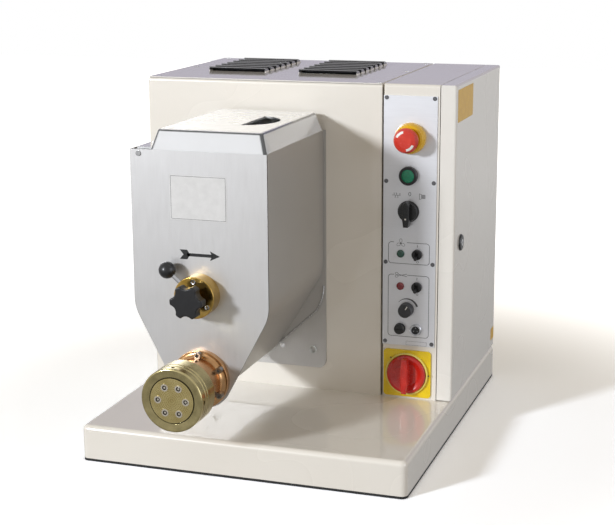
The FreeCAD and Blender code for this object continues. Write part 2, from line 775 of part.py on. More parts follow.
# front bearing of the mixing shaft, its screwed support pin with the star knob, and the pull pin
bearing_face = "(hopper_front - bearing_length)"
boss_face = "(hopper_front - bearing_length - bearing_boss_length)"
mixer_bearing = turned("mixer_bearing", [
    ("support_pin + running_gap", boss_face), ("bearing_boss", boss_face), ("bearing_boss", bearing_face),
    ("bearing_radius", bearing_face), ("bearing_radius", "hopper_front"),
    ("support_pin + running_gap", "hopper_front"),
], "hopper_centre", "mixer_height")
soften(mixer_bearing, "1", ring("bearing_radius", bearing_face))
pull_bore = circles(
    mixer_bearing, "YZ", "pull_rod + running_gap", [(f"{bearing_face} + pull_inset", "0")], "0",
    -value("pull_angle"),
)
pull_bore.setExpression("AttachmentOffset.Rotation.Angle", bound("pull_angle"))
pull_bore.AttachmentOffset = Placement(Vector(0, 0, 0), Rotation(Vector(-1, 0, 0), value("pull_angle")))
pocket(mixer_bearing, pull_bore, "2 * bearing_radius")

knob_back = f"({boss_face} - free_gap)"
knob_face = f"({boss_face} - free_gap - knob_length)"
star_knob = turned("star_knob", [
    ("0", knob_face), ("knob_radius", knob_face), ("knob_radius", knob_back), ("support_pin", knob_back),
    ("support_pin", f"{trough_front} + support_pin_seat"), ("0", f"{trough_front} + support_pin_seat"),
], "hopper_centre", "mixer_height")
scallop_reach = "(knob_radius + knob_scallop - knob_scallop_depth)"
scallop_spot = [(f"{scallop_reach} * cos(30)", f"{scallop_reach} * sin(30)")]
scallop = pocket(star_knob, circles(
    star_knob, "XZ", "knob_scallop", scallop_spot, f"-({knob_back} + 1)"), "knob_length + 2")
polar(star_knob, [scallop], "knob_lobes")
lobe_side = straight("y", y=f"({knob_face} + {knob_back}) / 2")
soften(star_knob, "3", lambda edge: lobe_side(edge) and abs(edge.CenterOfMass.z) > 1)
soften(star_knob, "2", level_with("y", knob_face))

pull_pin = new_body("pull_pin", "hopper_centre", f"{bearing_face} + pull_inset", "mixer_height")
pull_pin.Placement = Placement(Vector(0, 0, 0), Rotation(Vector(0, -1, 0), value("pull_angle")))
pull_pin.setExpression("Placement.Rotation.Angle", bound("pull_angle"))
revolve(pull_pin, outline(pull_pin, "XY", [
    ("support_pin + 1", "0"), ("support_pin + 1", "pull_rod"), ("pull_reach", "pull_rod"),
    ("pull_reach", "0"),
]), "H_Axis")
ball = sketch(pull_pin, "XY")
ball.addGeometry(Part.ArcOfCircle(
    Part.Circle(Vector(value("pull_reach"), 0, 0), Vector(0, 0, 1), value("pull_ball")), 0, math.pi), False)
ball.addGeometry(Part.LineSegment(
    Vector(value("pull_reach - pull_ball"), 0, 0), Vector(value("pull_reach + pull_ball"), 0, 0)), False)
ball.addConstraint(Sketcher.Constraint("Coincident", 0, 2, 1, 1))
ball.addConstraint(Sketcher.Constraint("Coincident", 1, 2, 0, 1))
pin(ball, 0, 3, "pull_reach", "0")
ball.addConstraint(Sketcher.Constraint("PointOnObject", 0, 1, -1))
ball.addConstraint(Sketcher.Constraint("PointOnObject", 0, 2, -1))
number = ball.addConstraint(Sketcher.Constraint("Radius", 0, value("pull_ball")))
ball.setExpression(f"Constraints[{number}]", bound("pull_ball"))
revolve(pull_pin, ball, "H_Axis")

# mixing shaft: it hangs on the support pin in front and carries T-shaped paddles
shaft_front = f"({trough_front} + free_gap * 3)"
mixer_shaft = turned("mixer_shaft", [
    ("0", shaft_front), ("shaft_radius", shaft_front), ("shaft_radius", case_end), ("0", case_end),
], "hopper_centre", "mixer_height")
for number in range(5):
    turn = 90 * number + 45
    level = f"-(paddle_first + {number} * paddle_pitch)"
    for low, width in (("shaft_radius / 2", "paddle_width"), ("paddle_reach - paddle_thick", "paddle_tip")):
        arm = rectangle(
            mixer_shaft, "XZ", (low, "-paddle_thick / 2"), ("paddle_reach", "paddle_thick / 2"), level, turn)
        pad(mixer_shaft, arm, width, both=True)
pocket(mixer_shaft, circles(
    mixer_shaft, "XZ", "support_pin + running_gap", [("0", "0")],
    f"-({trough_front} + support_pin_seat + free_gap)"), "support_pin_seat")

# extruder barrel with its threaded collar
collar_back = f"({barrel_mouth} + collar_length)"
flange_face = "(hopper_front - flange_thick)"
bore = "auger_radius + free_gap"
barrel = turned("barrel", [
    (bore, barrel_mouth), ("collar_radius", barrel_mouth), ("collar_radius", collar_back),
    ("barrel_neck", f"{collar_back} + collar_radius - barrel_neck"), ("barrel_neck", flange_face),
    ("flange_radius", flange_face), ("flange_radius", "hopper_front"), (bore, "hopper_front"),
], "hopper_centre", auger_height)
soften(barrel, "barrel_neck_round", ring("barrel_neck", flange_face))
soften(barrel, "1", ring("flange_radius", flange_face))
bolt_spots = [("bolt_circle * cos(30)", "bolt_circle * sin(30)")]
bolt_hole = pocket(barrel, circles(
    barrel, "XZ", "bolt_head + free_gap / 2", bolt_spots, f"-{flange_face}"), "bolt_head_length + free_gap")
polar(barrel, [bolt_hole], "bolt_count")

barrel_bolts = new_body("barrel_bolts", "hopper_centre", "0", auger_height)
bolt = pad(barrel_bolts, circles(
    barrel_bolts, "XZ", "bolt_head", bolt_spots, f"-{flange_face}"), "bolt_head_length")
key = pocket(barrel_bolts, circles(
    barrel_bolts, "XZ", "bolt_shank * 0.85", bolt_spots, f"bolt_head_length * 0.5 - {flange_face}"),
    "bolt_head_length")
polar(barrel_bolts, [bolt, key], "bolt_count")

# auger: a helical flight on a core, driven through the back plate
flight_front = f"({barrel_mouth} + flight_thick)"
flight_back = f"({trough_back} - 2 * flight_thick)"
auger = turned("auger", [
    ("0", f"{barrel_mouth} + free_gap"), ("auger_core", f"{barrel_mouth} + free_gap"),
    ("auger_core", f"{trough_back} - flight_thick"), ("shaft_radius", f"{trough_back} - flight_thick"),
    ("shaft_radius", case_end), ("0", case_end),
], "hopper_centre", auger_height)
flight = outline(auger, "XY", [
    ("auger_core - 1", flight_front), ("auger_radius", f"{flight_front} + flight_thick * 0.3"),
    ("auger_radius", f"{flight_front} + flight_thick * 0.7"),
    ("auger_core - 1", f"{flight_front} + flight_thick"),
])
helix = feature(auger, "AdditiveHelix", flight, ReferenceAxis=(flight, ["V_Axis"]), Mode="pitch-height-angle")
helix.setExpression("Pitch", bound("auger_pitch"))
helix.setExpression("Height", bound(f"{flight_back} - {flight_front}"))

# die with its pressed inserts, held by the ring nut
die_back = barrel_mouth
die_shoulder = "(hopper_front - barrel_length - die_flange)"
die_face = "(hopper_front - barrel_length - die_flange - die_face_rise)"
die_plate = turned("die_plate", [
    ("0", die_face), ("die_face_radius", die_face), ("die_face_radius", die_shoulder),
    ("die_flange_radius", die_shoulder), ("die_flange_radius", die_back), ("0", die_back),
], "hopper_centre", auger_height)
insert_spot = [("insert_circle", "0")]
seat = pocket(die_plate, circles(
    die_plate, "XZ", "insert_radius + 0.02", insert_spot, f"-({die_face} + insert_length)"), "insert_length")
feed = pocket(die_plate, circles(die_plate, "XZ", "insert_radius * 0.8", insert_spot))
polar(die_plate, [seat, feed], "insert_count")

die_inserts = new_body("die_inserts", "hopper_centre", "0", auger_height)
base = pad(die_inserts, circles(
    die_inserts, "XZ", "insert_radius", insert_spot, f"-({die_face} + insert_length)"), "insert_length + 0.6")
channel = pocket(die_inserts, circles(
    die_inserts, "XZ", "insert_hole", insert_spot, f"-({die_face} + insert_length * 0.6)"), "insert_length")
core = pad(die_inserts, circles(
    die_inserts, "XZ", "insert_core", insert_spot, f"-({die_face} + insert_length * 0.6)"),
    "insert_length * 0.6")
polar(die_inserts, [base, channel, core], "insert_count")

nut_bore = "(collar_radius + 2 * running_gap)"
nut_back = f"({nozzle_tip} + nut_lip + die_flange + nut_skirt)"
nut_profile = [
    ("die_face_radius + free_gap", f"{nozzle_tip} + 1.5"), ("nut_radius", nozzle_tip),
]
for place_y in (f"{nozzle_tip} + nut_lip * 2", f"{nozzle_tip} + nut_lip * 3.2"):
    nut_profile += [
        ("nut_radius", place_y), ("nut_radius - nut_groove", f"{place_y} + nut_groove_width / 3"),
        ("nut_radius - nut_groove", f"{place_y} + nut_groove_width * 2 / 3"),
        ("nut_radius", f"{place_y} + nut_groove_width"),
    ]
nut_profile += [
    ("nut_radius", nut_back), (nut_bore, nut_back), (nut_bore, f"{nozzle_tip} + nut_lip - 2 * running_gap"),
    ("die_face_radius + free_gap", f"{nozzle_tip} + nut_lip - 2 * running_gap"),
]
ring_nut = turned("ring_nut", nut_profile, "hopper_centre", auger_height)
soften(ring_nut, "nut_round", ring("nut_radius", nozzle_tip))
soften(ring_nut, "nut_round / 2", ring("nut_radius", nut_back))
notch = pocket(ring_nut, circles(
    ring_nut, "YZ", "nut_hole", [(f"{nozzle_tip} + nut_lip * 1.2", "0")], "nut_radius - nut_groove * 2"),
    "nut_groove * 3")
polar(ring_nut, [notch], "nut_holes")


def mesh_angle(teeth, direction, on_gap):
    """The turn that puts a tooth, or the gap beside it, on the line to the meshing gear."""
    return direction + (180.0 / teeth if on_gap else 0.0)


def gear(name, teeth, axis_height, first_tooth, bore_radius):
    """A spur gear with straight-sided teeth that stay inside the true involute form."""
    count = int(round(value(teeth)))
    module = value("gear_module")
    pitch = module * count / 2
    root = pitch - 1.25 * module
    tip = pitch + 0.95 * module
    base_circle = pitch * math.cos(math.radians(20))

    def half_angle(radius):
        pressure = math.acos(min(1.0, base_circle / max(radius, base_circle)))
        slip = math.tan(math.radians(20)) - math.radians(20) - (math.tan(pressure) - pressure)
        return (math.pi * module / 4 - value("tooth_backlash") / 4) / pitch + slip

    points = []
    for tooth in range(count):
        middle = math.radians(first_tooth) + 2 * math.pi * tooth / count
        for radius, side in ((root, -1), (tip, -1), (tip, 1), (root, 1)):
            angle = middle + side * half_angle(radius)
            points.append(Vector(radius * math.cos(angle), 0, radius * math.sin(angle)))
    wheel = Part.Face(Part.makePolygon(points + points[:1]))
    gear_near = value(f"{case_front} + case_cover + (case_depth - gear_width) / 2")
    wheel = wheel.extrude(Vector(0, value("gear_width"), 0))
    wheel.translate(Vector(0, gear_near, 0))
    hole = Part.makeCylinder(bore_radius, value(case_end), Vector(0, 0, 0), Vector(0, 1, 0))
    piece = doc.addObject("Part::Feature", name)
    piece.Label = name
    piece.Shape = wheel.cut(hole) if bore_radius else wheel
    place(piece, "hopper_centre", "0", axis_height)
    pieces.append(piece)
    return piece


# gear train: the motor's pinion drives the mixing shaft's gear, and that one the auger's gear
mixer_count = value("mixer_teeth")
pinion_count = value("pinion_teeth")
mixer_first = -90.0
ahead = 180.0 % (360.0 / mixer_count)
gear("gear_mixer", "mixer_teeth", "mixer_height", mixer_first, value("shaft_radius + 0.02"))
gear(
    "gear_auger", "auger_teeth", auger_height,
    mesh_angle(value("auger_teeth"), 90.0, True), value("shaft_radius + 0.02"),
)
pinion_first = mesh_angle(pinion_count, -90.0, True) + ahead * mixer_count / pinion_count
gear("pinion", "pinion_teeth", motor_height, pinion_first, value("shaft_radius + 0.02"))
pinion_shaft = turned("pinion_shaft", [
    ("0", f"{case_front} + case_cover + free_gap"), ("shaft_radius", f"{case_front} + case_cover + free_gap"),
    ("shaft_radius", f"{case_end} + motor_shaft_depth - 1"), ("0", f"{case_end} + motor_shaft_depth - 1"),
], "hopper_centre", motor_height)

# gear case: an open casting with a cover plate behind the cabinet's front, standing on the base
drop = f"({auger_height} - mixer_height)"
lift = f"({motor_height} - mixer_height)"


def case_block(body, half, level, length, cut=False):
    """An upright slab with round ends about the auger's and the motor's axes."""
    lobes = circles(body, "XZ", half, [("0", drop)], level)
    upper = circles(body, "XZ", half, [("0", lift)], level)
    web = rectangle(body, "XZ", (f"-({half})", drop), (half, lift), level)
    for part in (web, lobes, upper):
        if cut:
            pocket(body, part, length)
        else:
            pad(body, part, length)


gear_case = new_body("gear_case", "hopper_centre", "0", "mixer_height")
case_block(gear_case, case_half, f"-{case_end}", "case_depth + case_back")
foot_top = f"{drop} - {case_half} * 0.6"
pad(gear_case, rectangle(
    gear_case, "XZ", ("-case_foot_width / 2", "base_height - mixer_height"),
    ("case_foot_width / 2", foot_top),
    f"-{case_end}",
), "case_depth + case_back")
case_block(
    gear_case, f"{case_half} - case_wall", f"-{case_floor}", "case_depth + 1", cut=True)
axes = [("0", "0"), ("0", drop)]
pocket(gear_case, circles(gear_case, "XZ", "race_radius", axes, f"-({case_end} + 1)"), "case_back + 2")
pocket(gear_case, circles(
    gear_case, "XZ", "shaft_radius + 3", [("0", lift)], f"-({case_end} + 1)"), "case_back + 2")

gear_cover = new_body("gear_cover", "hopper_centre", "0", "mixer_height")
case_block(gear_cover, case_half, f"-({case_front} + case_cover)", "case_cover")
pocket(gear_cover, circles(gear_cover, "XZ", "race_radius", axes))

bearings = new_body("bearings", "hopper_centre", "0", "mixer_height")
for level, length in ((f"-{case_end}", "case_back"), (f"-({case_front} + case_cover)", "case_cover")):
    pad(bearings, circles(bearings, "XZ", "race_radius - 0.02", axes, level), length)
pocket(bearings, circles(bearings, "XZ", "shaft_radius + running_gap", axes))

motor_back = f"({cabinet_back} - motor_clearance)"
motor = turned("motor", [
    ("0", case_end), ("motor_flange", case_end), ("motor_flange", f"{case_end} + motor_flange_thick"),
    ("motor_radius", f"{case_end} + motor_flange_thick * 1.6"), ("motor_radius", f"{motor_back} - 6"),
    ("motor_radius - 6", motor_back), ("0", motor_back),
], "hopper_centre", motor_height)
pocket(motor, circles(
    motor, "XZ", "shaft_radius + running_gap", [("0", "0")], f"-({case_end} + motor_shaft_depth)"),
    "motor_shaft_depth")
fin_near = f"{case_end} + motor_flange_thick * 2"
fin_length = f"{motor_length} * 0.62"
fin = pocket(motor, rectangle(
    motor, "XZ", ("motor_radius - motor_fin_depth", "-2"), ("motor_radius + 2", "2"),
    f"-({fin_near} + {fin_length})"), fin_length)
polar(motor, [fin], "motor_fins")

# control panel over the column's window
control_panel = new_body("control_panel", "0", "0", "0")
pad(control_panel, rectangle(
    control_panel, "XZ", (panel_left, "panel_low"), (panel_right, "panel_low + panel_height"),
    "-cabinet_front",
), "panel_sheet")
shank_spots = [(stop_x, "stop_z"), (start_x, "start_z"), (selector_x, "selector_z")]
small_spots = [
    (lamp_x, "upper_row"), (lamp_x, "lower_row"), (toggle_x, "upper_row"), (toggle_x, "lower_row"),
    (speed_x, "speed_z"), (fuse_x, "bottom_row"), (socket_x, "bottom_row"),
]
small_shank = "(toggle_radius * 0.55)"
pocket(control_panel, circles(control_panel, "XZ", "shank_radius + running_gap", shank_spots))
pocket(control_panel, circles(control_panel, "XZ", f"{small_shank} + running_gap", small_spots))


def control_body(name, x, z, points, shank, inside="shank_length", bore_radius=None):
    """A control turned about its axis, with a shank through the panel and a rear body."""
    first = "0" if bore_radius is None else bore_radius
    back = f"{panel_face} + ({inside})"
    profile = [(first, points[0][1])] + points
    profile += [(shank, panel_face), (shank, back), (first, back)]
    return turned(name, profile, x, z)


stop_collar_face = f"({panel_face} - stop_collar_depth)"
control_body("stop_collar", stop_x, "stop_z", [
    ("stop_collar * 0.78", stop_collar_face), ("stop_collar * 0.9", f"{stop_collar_face} + 2"),
    ("stop_collar", f"{panel_face} - stop_collar_depth / 2"), ("stop_collar", panel_face),
], "shank_radius", "shank_length", "stop_stem + running_gap")
stop_head_back = f"({stop_collar_face} - stop_travel - free_gap)"
stop_head_face = f"({stop_head_back} - stop_head_depth)"
stop_head = turned("stop_head", [
    ("0", stop_head_face), ("stop_head * 0.55", f"{stop_head_face}"),
    ("stop_head * 0.85", f"{stop_head_face} + stop_head_depth * 0.15"),
    ("stop_head", f"{stop_head_face} + stop_head_depth * 0.45"),
    ("stop_head * 0.95", f"{stop_head_back} - 1"), ("stop_head * 0.8", stop_head_back),
    ("stop_stem", stop_head_back), ("stop_stem", panel_face), ("0", panel_face),
], stop_x, "stop_z")

bezel_face = f"({panel_face} - start_bezel_depth)"
lens_bore = "(start_lens + running_gap)"
lens_floor = f"({bezel_face} + start_lens_depth + start_travel)"
start_bezel = turned("start_bezel", [
    (lens_bore, bezel_face), ("start_bezel - 1", bezel_face), ("start_bezel", f"{bezel_face} + 1"),
    ("start_bezel", panel_face), ("shank_radius", panel_face),
    ("shank_radius", f"{panel_face} + shank_length"),
    ("0", f"{panel_face} + shank_length"), ("0", f"{panel_face} + shank_length * 0.4"),
    ("shank_radius * 0.7", f"{panel_face} + shank_length * 0.4"), ("shank_radius * 0.7", lens_floor),
    (lens_bore, lens_floor),
], start_x, "start_z")
start_button = turned("start_button", [
    ("0", f"{bezel_face} - 1.6"), ("start_lens * 0.6", f"{bezel_face} - 1.2"),
    ("start_lens", f"{bezel_face} + 0.8"),
    ("start_lens", f"{bezel_face} + start_lens_depth - free_gap / 2"),
    ("0", f"{bezel_face} + start_lens_depth - free_gap / 2"),
], start_x, "start_z")

selector_base = control_body("selector_base", selector_x, "selector_z", [
    ("selector_radius", f"{panel_face} - 2"), ("selector_radius", panel_face),
], "shank_radius", "shank_length", "switch_stem / 2 + running_gap")
selector_back = f"({panel_face} - 2 - free_gap)"
selector_face = f"({selector_back} - selector_depth)"
selector_knob = turned("selector_knob", [
    ("0", selector_face), ("selector_radius - 2.5", selector_face),
    ("selector_radius - 1", f"{selector_back} - 1"),
    ("selector_radius - 1", selector_back), ("switch_stem / 2", selector_back),
    ("switch_stem / 2", f"{panel_face} + 10"), ("0", f"{panel_face} + 10"),
], selector_x, "selector_z")
bar_half = "selector_bar / 2"
pad(selector_knob, outline(selector_knob, "XZ", [
    (f"-{bar_half} * 0.7", "-selector_tail"), (f"{bar_half} * 0.7", "-selector_tail"),
    (bar_half, "-selector_tail / 2"), (bar_half, "selector_radius * 0.7"), ("0", "selector_radius + 1.5"),
    (f"-{bar_half}", "selector_radius * 0.7"), (f"-{bar_half}", "-selector_tail / 2"),
], f"-{selector_back} + 1"), "selector_bar_depth - 1")
soften(selector_knob, "2", level_with("y", f"{selector_back} - selector_bar_depth"))

for name, height in (("lamp_green", "upper_row"), ("lamp_red", "lower_row")):
    lamp = control_body(name, lamp_x, height, [
        ("lamp_radius * 0.55", f"{panel_face} - lamp_depth"),
        ("lamp_radius * 0.9", f"{panel_face} - lamp_depth * 0.7"),
        ("lamp_radius", f"{panel_face} - lamp_depth * 0.3"), ("lamp_radius", panel_face),
    ], small_shank, "shank_length * 0.6")

toggle_pivot = f"({panel_face} - toggle_depth * 0.4)"
toggle_bushes = new_body("toggle_bushes", toggle_x, "0", "0")
row_spots = [("0", "upper_row"), ("0", "lower_row")]
bush = circles(toggle_bushes, "XZ", "toggle_radius", row_spots, f"-{panel_face}")
pad(toggle_bushes, bush, "toggle_depth")
soften(toggle_bushes, "1.2", level_with("y", f"{panel_face} - toggle_depth"))
pad(toggle_bushes, circles(
    toggle_bushes, "XZ", small_shank, row_spots, f"-({panel_face} + shank_length * 0.6)"), "shank_length * 0.6")
for low in ("upper_row", "lower_row"):
    pocket(toggle_bushes, rectangle(
        toggle_bushes, "XZ", ("-toggle_lever - free_gap", f"{low} - toggle_radius * 0.7"),
        ("toggle_lever + free_gap", f"{low} + toggle_radius * 0.7"), f"-({panel_face} - free_gap)",
    ), "toggle_depth * 2")

for name, height in (("toggle_upper", "upper_row"), ("toggle_lower", "lower_row")):
    lever = new_body(name, toggle_x, toggle_pivot, height)
    lever.Placement = Placement(Vector(0, 0, 0), Rotation(Vector(1, 0, 0), 25))
    revolve(lever, outline(lever, "XY", [
        ("0", "1.2"), ("toggle_lever * 0.6", "1"), ("toggle_lever * 0.8", "-toggle_depth"),
        ("toggle_lever", "-toggle_reach"), ("toggle_lever * 0.5", "-toggle_reach - 1"),
        ("0", "-toggle_reach - 1"),
    ]))
    pivot = circles(lever, "YZ", "toggle_lever * 0.54", [("0", "0")])
    pad(lever, pivot, "toggle_lever * 1.8", both=True)

speed_knob = turned("speed_knob", [
    ("0", f"{panel_face} - free_gap - speed_depth"),
    ("speed_radius - 2", f"{panel_face} - free_gap - speed_depth"),
    ("speed_radius - 1", f"{panel_face} - free_gap - speed_depth + 1"),
    ("speed_radius", f"{panel_face} - free_gap - 1"), ("speed_radius", f"{panel_face} - free_gap"),
    (small_shank, f"{panel_face} - free_gap"), (small_shank, f"{panel_face} + shank_length * 0.5"),
    ("0", f"{panel_face} + shank_length * 0.5"),
], speed_x, "speed_z")

fuse_holder = control_body("fuse_holder", fuse_x, "bottom_row", [
    ("fuse_radius", f"{panel_face} - 1.5"), ("fuse_radius", panel_face),
], small_shank, "shank_length", "switch_stem / 2 + running_gap")
fuse_back = f"({panel_face} - 1.5 - free_gap / 2)"
fuse_cap = turned("fuse_cap", [
    ("0", f"{fuse_back} - fuse_depth"), ("fuse_radius - 2", f"{fuse_back} - fuse_depth"),
    ("fuse_radius - 0.8", f"{fuse_back} - fuse_depth + 1.2"), ("fuse_radius - 0.8", fuse_back),
    ("switch_stem / 2", fuse_back), ("switch_stem / 2", f"{panel_face} + shank_length * 0.8"),
    ("0", f"{panel_face} + shank_length * 0.8"),
], fuse_x, "bottom_row")
pocket(fuse_cap, rectangle(
    fuse_cap, "XZ", ("-fuse_radius * 0.6", "-0.7"), ("fuse_radius * 0.6", "0.7"),
    f"fuse_depth - 1.5 - {fuse_back}",
), "fuse_depth")

accessory_socket = turned("accessory_socket", [
    ("0", f"{panel_face} - socket_depth * 0.4"),
    ("socket_radius * 0.7", f"{panel_face} - socket_depth * 0.4"),
    ("socket_radius * 0.7", f"{panel_face} - socket_depth"),
    ("socket_radius * 0.9", f"{panel_face} - socket_depth"),
    ("socket_radius", f"{panel_face} - socket_depth * 0.7"), ("socket_radius", panel_face),
    (small_shank, panel_face), (small_shank, f"{panel_face} + shank_length * 0.6"),
    ("0", f"{panel_face} + shank_length * 0.6"),
], socket_x, "bottom_row")

# main switch under the panel
switch_plate = new_body("switch_plate", switch_x, "0", "switch_z")
half = "switch_plate / 2"
pad(switch_plate, rectangle(
    switch_plate, "XZ", (f"-{half}", f"-{half}"), (half, half), "-cabinet_front"), "switch_plate_sheet")
soften(switch_plate, "switch_plate_corner", straight("y"))
pad(switch_plate, circles(
    switch_plate, "XZ", "switch_ring", [("0", "0")], "switch_plate_sheet - cabinet_front"), "switch_ring_depth")
pocket(switch_plate, circles(
    switch_plate, "XZ", "switch_handle + free_gap", [("0", "0")],
    "switch_plate_sheet - cabinet_front"),
    "switch_ring_depth + 1")
pocket(switch_plate, circles(switch_plate, "XZ", "switch_stem + running_gap", [("0", "0")]))
switch_near = "(cabinet_front - switch_plate_sheet - free_gap)"
switch_top = f"({switch_near} - switch_handle_depth)"
switch_handle = turned("switch_handle", [
    ("0", f"{switch_top} + 4"), ("switch_handle * 0.6", f"{switch_top} + 3"),
    ("switch_handle - 5", switch_top), ("switch_handle - 1", f"{switch_top} + 1"),
    ("switch_handle", f"{switch_top} + 3"), ("switch_handle", switch_near),
    ("switch_stem", switch_near), ("switch_stem", "cabinet_front + 12"), ("0", "cabinet_front + 12"),
], switch_x, "switch_z")
grip = "switch_grip / 2"
pad(switch_handle, outline(switch_handle, "XZ", [
    (f"-{grip} * 0.6", "-switch_handle + 3"), (f"{grip} * 0.6", "-switch_handle + 3"),
    (grip, "-switch_handle * 0.4"), (grip, "switch_handle * 0.4"), (f"{grip} * 0.6", "switch_handle - 3"),
    (f"-{grip} * 0.6", "switch_handle - 3"), (f"-{grip}", "switch_handle * 0.4"),
    (f"-{grip}", "-switch_handle * 0.4"),
], f"-{switch_near} + 2"), "switch_handle_depth + switch_grip_depth - 2")
soften(switch_handle, "3", level_with("y", f"{switch_top} - switch_grip_depth"))
switch_box = box_piece(
    "switch_box",
    (f"{switch_x} - switch_block / 2", "cabinet_front + cabinet_sheet", "switch_z - switch_block / 2 + 4"),
    (f"{switch_x} + switch_block / 2 - 4", "cabinet_front + cabinet_sheet + switch_block",
     "switch_z + switch_block / 2"),
)
pocket(switch_box, circles(
    switch_box, "XZ", "switch_stem + running_gap",
    [("switch_block / 2", "switch_block / 2 - 4")], "-14",
), "20")

# electrical equipment on a tray in the column, and the cable inlet behind
tray_face = f"({column_left} + cabinet_sheet + tray_sheet)"
tray_near = "(cabinet_front + tray_setback)"
tray_depth = f"({cabinet_depth} - tray_setback - tray_rear_gap)"
equipment_tray = box_piece(
    "equipment_tray", (f"{column_left} + cabinet_sheet", tray_near, "tray_low"),
    (tray_face, f"{tray_near} + {tray_depth}", "tray_low + tray_height"),
)
rails = ("tray_height * 0.78", "tray_height * 0.3")
for middle in rails:
    pad(equipment_tray, rectangle(
        equipment_tray, "YZ", ("rail_margin", f"{middle} - rail_width / 2"),
        (f"{tray_depth} - rail_margin", f"{middle} + rail_width / 2"), "tray_sheet",
    ), "rail_depth")
rail_face = f"({tray_face} + rail_depth)"
contactors = new_body("contactors", rail_face, tray_near, "tray_low")
for number in range(3):
    near = f"contactor_setback + {number} * (contactor_width + contactor_gap)"
    middle = rails[0]
    for rise, depth in (
        ("contactor_height / 2", "contactor_depth * 0.75"), ("contactor_height / 3", "contactor_depth"),
    ):
        pad(contactors, rectangle(
            contactors, "YZ", (near, f"{middle} - {rise}"),
            (f"{near} + contactor_width", f"{middle} + {rise}"),
        ), depth)
terminal_block = new_body("terminal_block", rail_face, tray_near, "tray_low")
block_half = "terminal_height / 2"
nose_half = "terminal_nose / 2"
pad(terminal_block, outline(terminal_block, "XZ", [
    ("0", f"{rails[1]} - {block_half}"), ("terminal_depth * 0.6", f"{rails[1]} - {block_half}"),
    ("terminal_depth", f"{rails[1]} - {nose_half}"), ("terminal_depth", f"{rails[1]} + {nose_half}"),
    ("terminal_depth * 0.6", f"{rails[1]} + {block_half}"), ("0", f"{rails[1]} + {block_half}"),
], "-(terminal_setback + terminal_width)"), "terminal_width")
transformer = new_body("transformer", tray_face, tray_near, "tray_low")
core_low = "tray_height * 0.47"
pad(transformer, rectangle(
    transformer, "YZ", ("transformer_setback", core_low),
    ("transformer_setback + transformer_width", f"{core_low} + transformer_height")),
    "transformer_depth * 0.55")
pad(transformer, rectangle(
    transformer, "YZ", ("transformer_setback + transformer_width * 0.2", f"{core_low} + transformer_lip"),
    ("transformer_setback + transformer_width * 0.8", f"{core_low} + transformer_height - transformer_lip"),
), "transformer_depth")

gland_x = f"({column_left} + {column_right}) / 2"
cable_gland = turned("cable_gland", [
    ("gland_bore", f"{cabinet_back} - 10"), ("gland_radius - 2.1", f"{cabinet_back} - 10"),
    ("gland_radius - 2.1", cabinet_back), ("gland_radius", cabinet_back),
    ("gland_radius", f"{cabinet_back} + gland_length * 0.3"),
    ("gland_radius * 0.8", f"{cabinet_back} + gland_length * 0.4"),
    ("gland_radius * 0.7", f"{cabinet_back} + gland_length * 0.5"),
    ("gland_bore", f"{cabinet_back} + gland_length * 0.5"),
], gland_x, "gland_height")

doc.recompute()
for item in doc.Objects:
    if "Invalid" in item.State or "Error" in item.State:
        raise RuntimeError(f"{item.Label} failed: {item.State}")
for piece in pieces:
    if piece.Shape.isNull() or not piece.Shape.isValid():
        raise RuntimeError(f"{piece.Label} has no valid shape")

os.makedirs("parts", exist_ok=True)
for piece in pieces:
    piece.Shape.exportStep(f"parts/{piece.Label}.step")
    print(piece.Label, round(piece.Shape.Volume / 1000, 1), "cm3", len(piece.Shape.Solids), "solids")
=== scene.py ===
import math

import bmesh
import bpy
from mathutils import Euler, Matrix, Vector


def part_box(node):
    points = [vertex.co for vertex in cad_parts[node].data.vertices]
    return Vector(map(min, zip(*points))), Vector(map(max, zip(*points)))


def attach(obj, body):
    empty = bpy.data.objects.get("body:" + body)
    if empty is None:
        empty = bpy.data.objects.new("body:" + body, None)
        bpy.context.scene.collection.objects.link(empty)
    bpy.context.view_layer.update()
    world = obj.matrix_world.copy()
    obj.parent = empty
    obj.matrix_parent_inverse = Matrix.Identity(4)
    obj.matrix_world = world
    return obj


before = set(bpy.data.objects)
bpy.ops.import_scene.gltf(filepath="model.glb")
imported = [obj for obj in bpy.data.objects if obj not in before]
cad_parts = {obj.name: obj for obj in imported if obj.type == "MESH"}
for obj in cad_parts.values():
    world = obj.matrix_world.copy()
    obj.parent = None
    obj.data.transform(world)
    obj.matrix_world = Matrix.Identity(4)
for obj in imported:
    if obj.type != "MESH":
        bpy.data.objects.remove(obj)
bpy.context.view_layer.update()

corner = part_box("base_edging")[0]  # the base's front left foot, where places in mm are measured from


def spot(x, y, z):
    return corner + Vector((x, y, z)) / 1000


def middleOf(node):
    low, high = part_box(node)
    return (low + high - 2 * corner) * 500


# Tools for nodes and finishes.

def linearColour(hexText):
    parts = [int(hexText[i:i + 2], 16) / 255 for i in (1, 3, 5)]
    return [c / 12.92 if c <= 0.04045 else ((c + 0.055) / 1.055) ** 2.4 for c in parts] + [1.0]


def add(tree, kind, sockets=None, **settings):
    made = tree.nodes.new(kind)
    for name, setting in settings.items():
        setattr(made, name, setting)
    for key, given in (sockets or {}).items():
        if isinstance(given, bpy.types.NodeSocket):
            tree.links.new(given, made.inputs[key])
        else:
            made.inputs[key].default_value = given
    return made


def openFinish(name):
    made = bpy.data.materials.new(name)
    made.use_nodes = True
    made.node_tree.nodes.clear()
    return made, made.node_tree, add(made.node_tree, "ShaderNodeTexCoord").outputs["Object"]


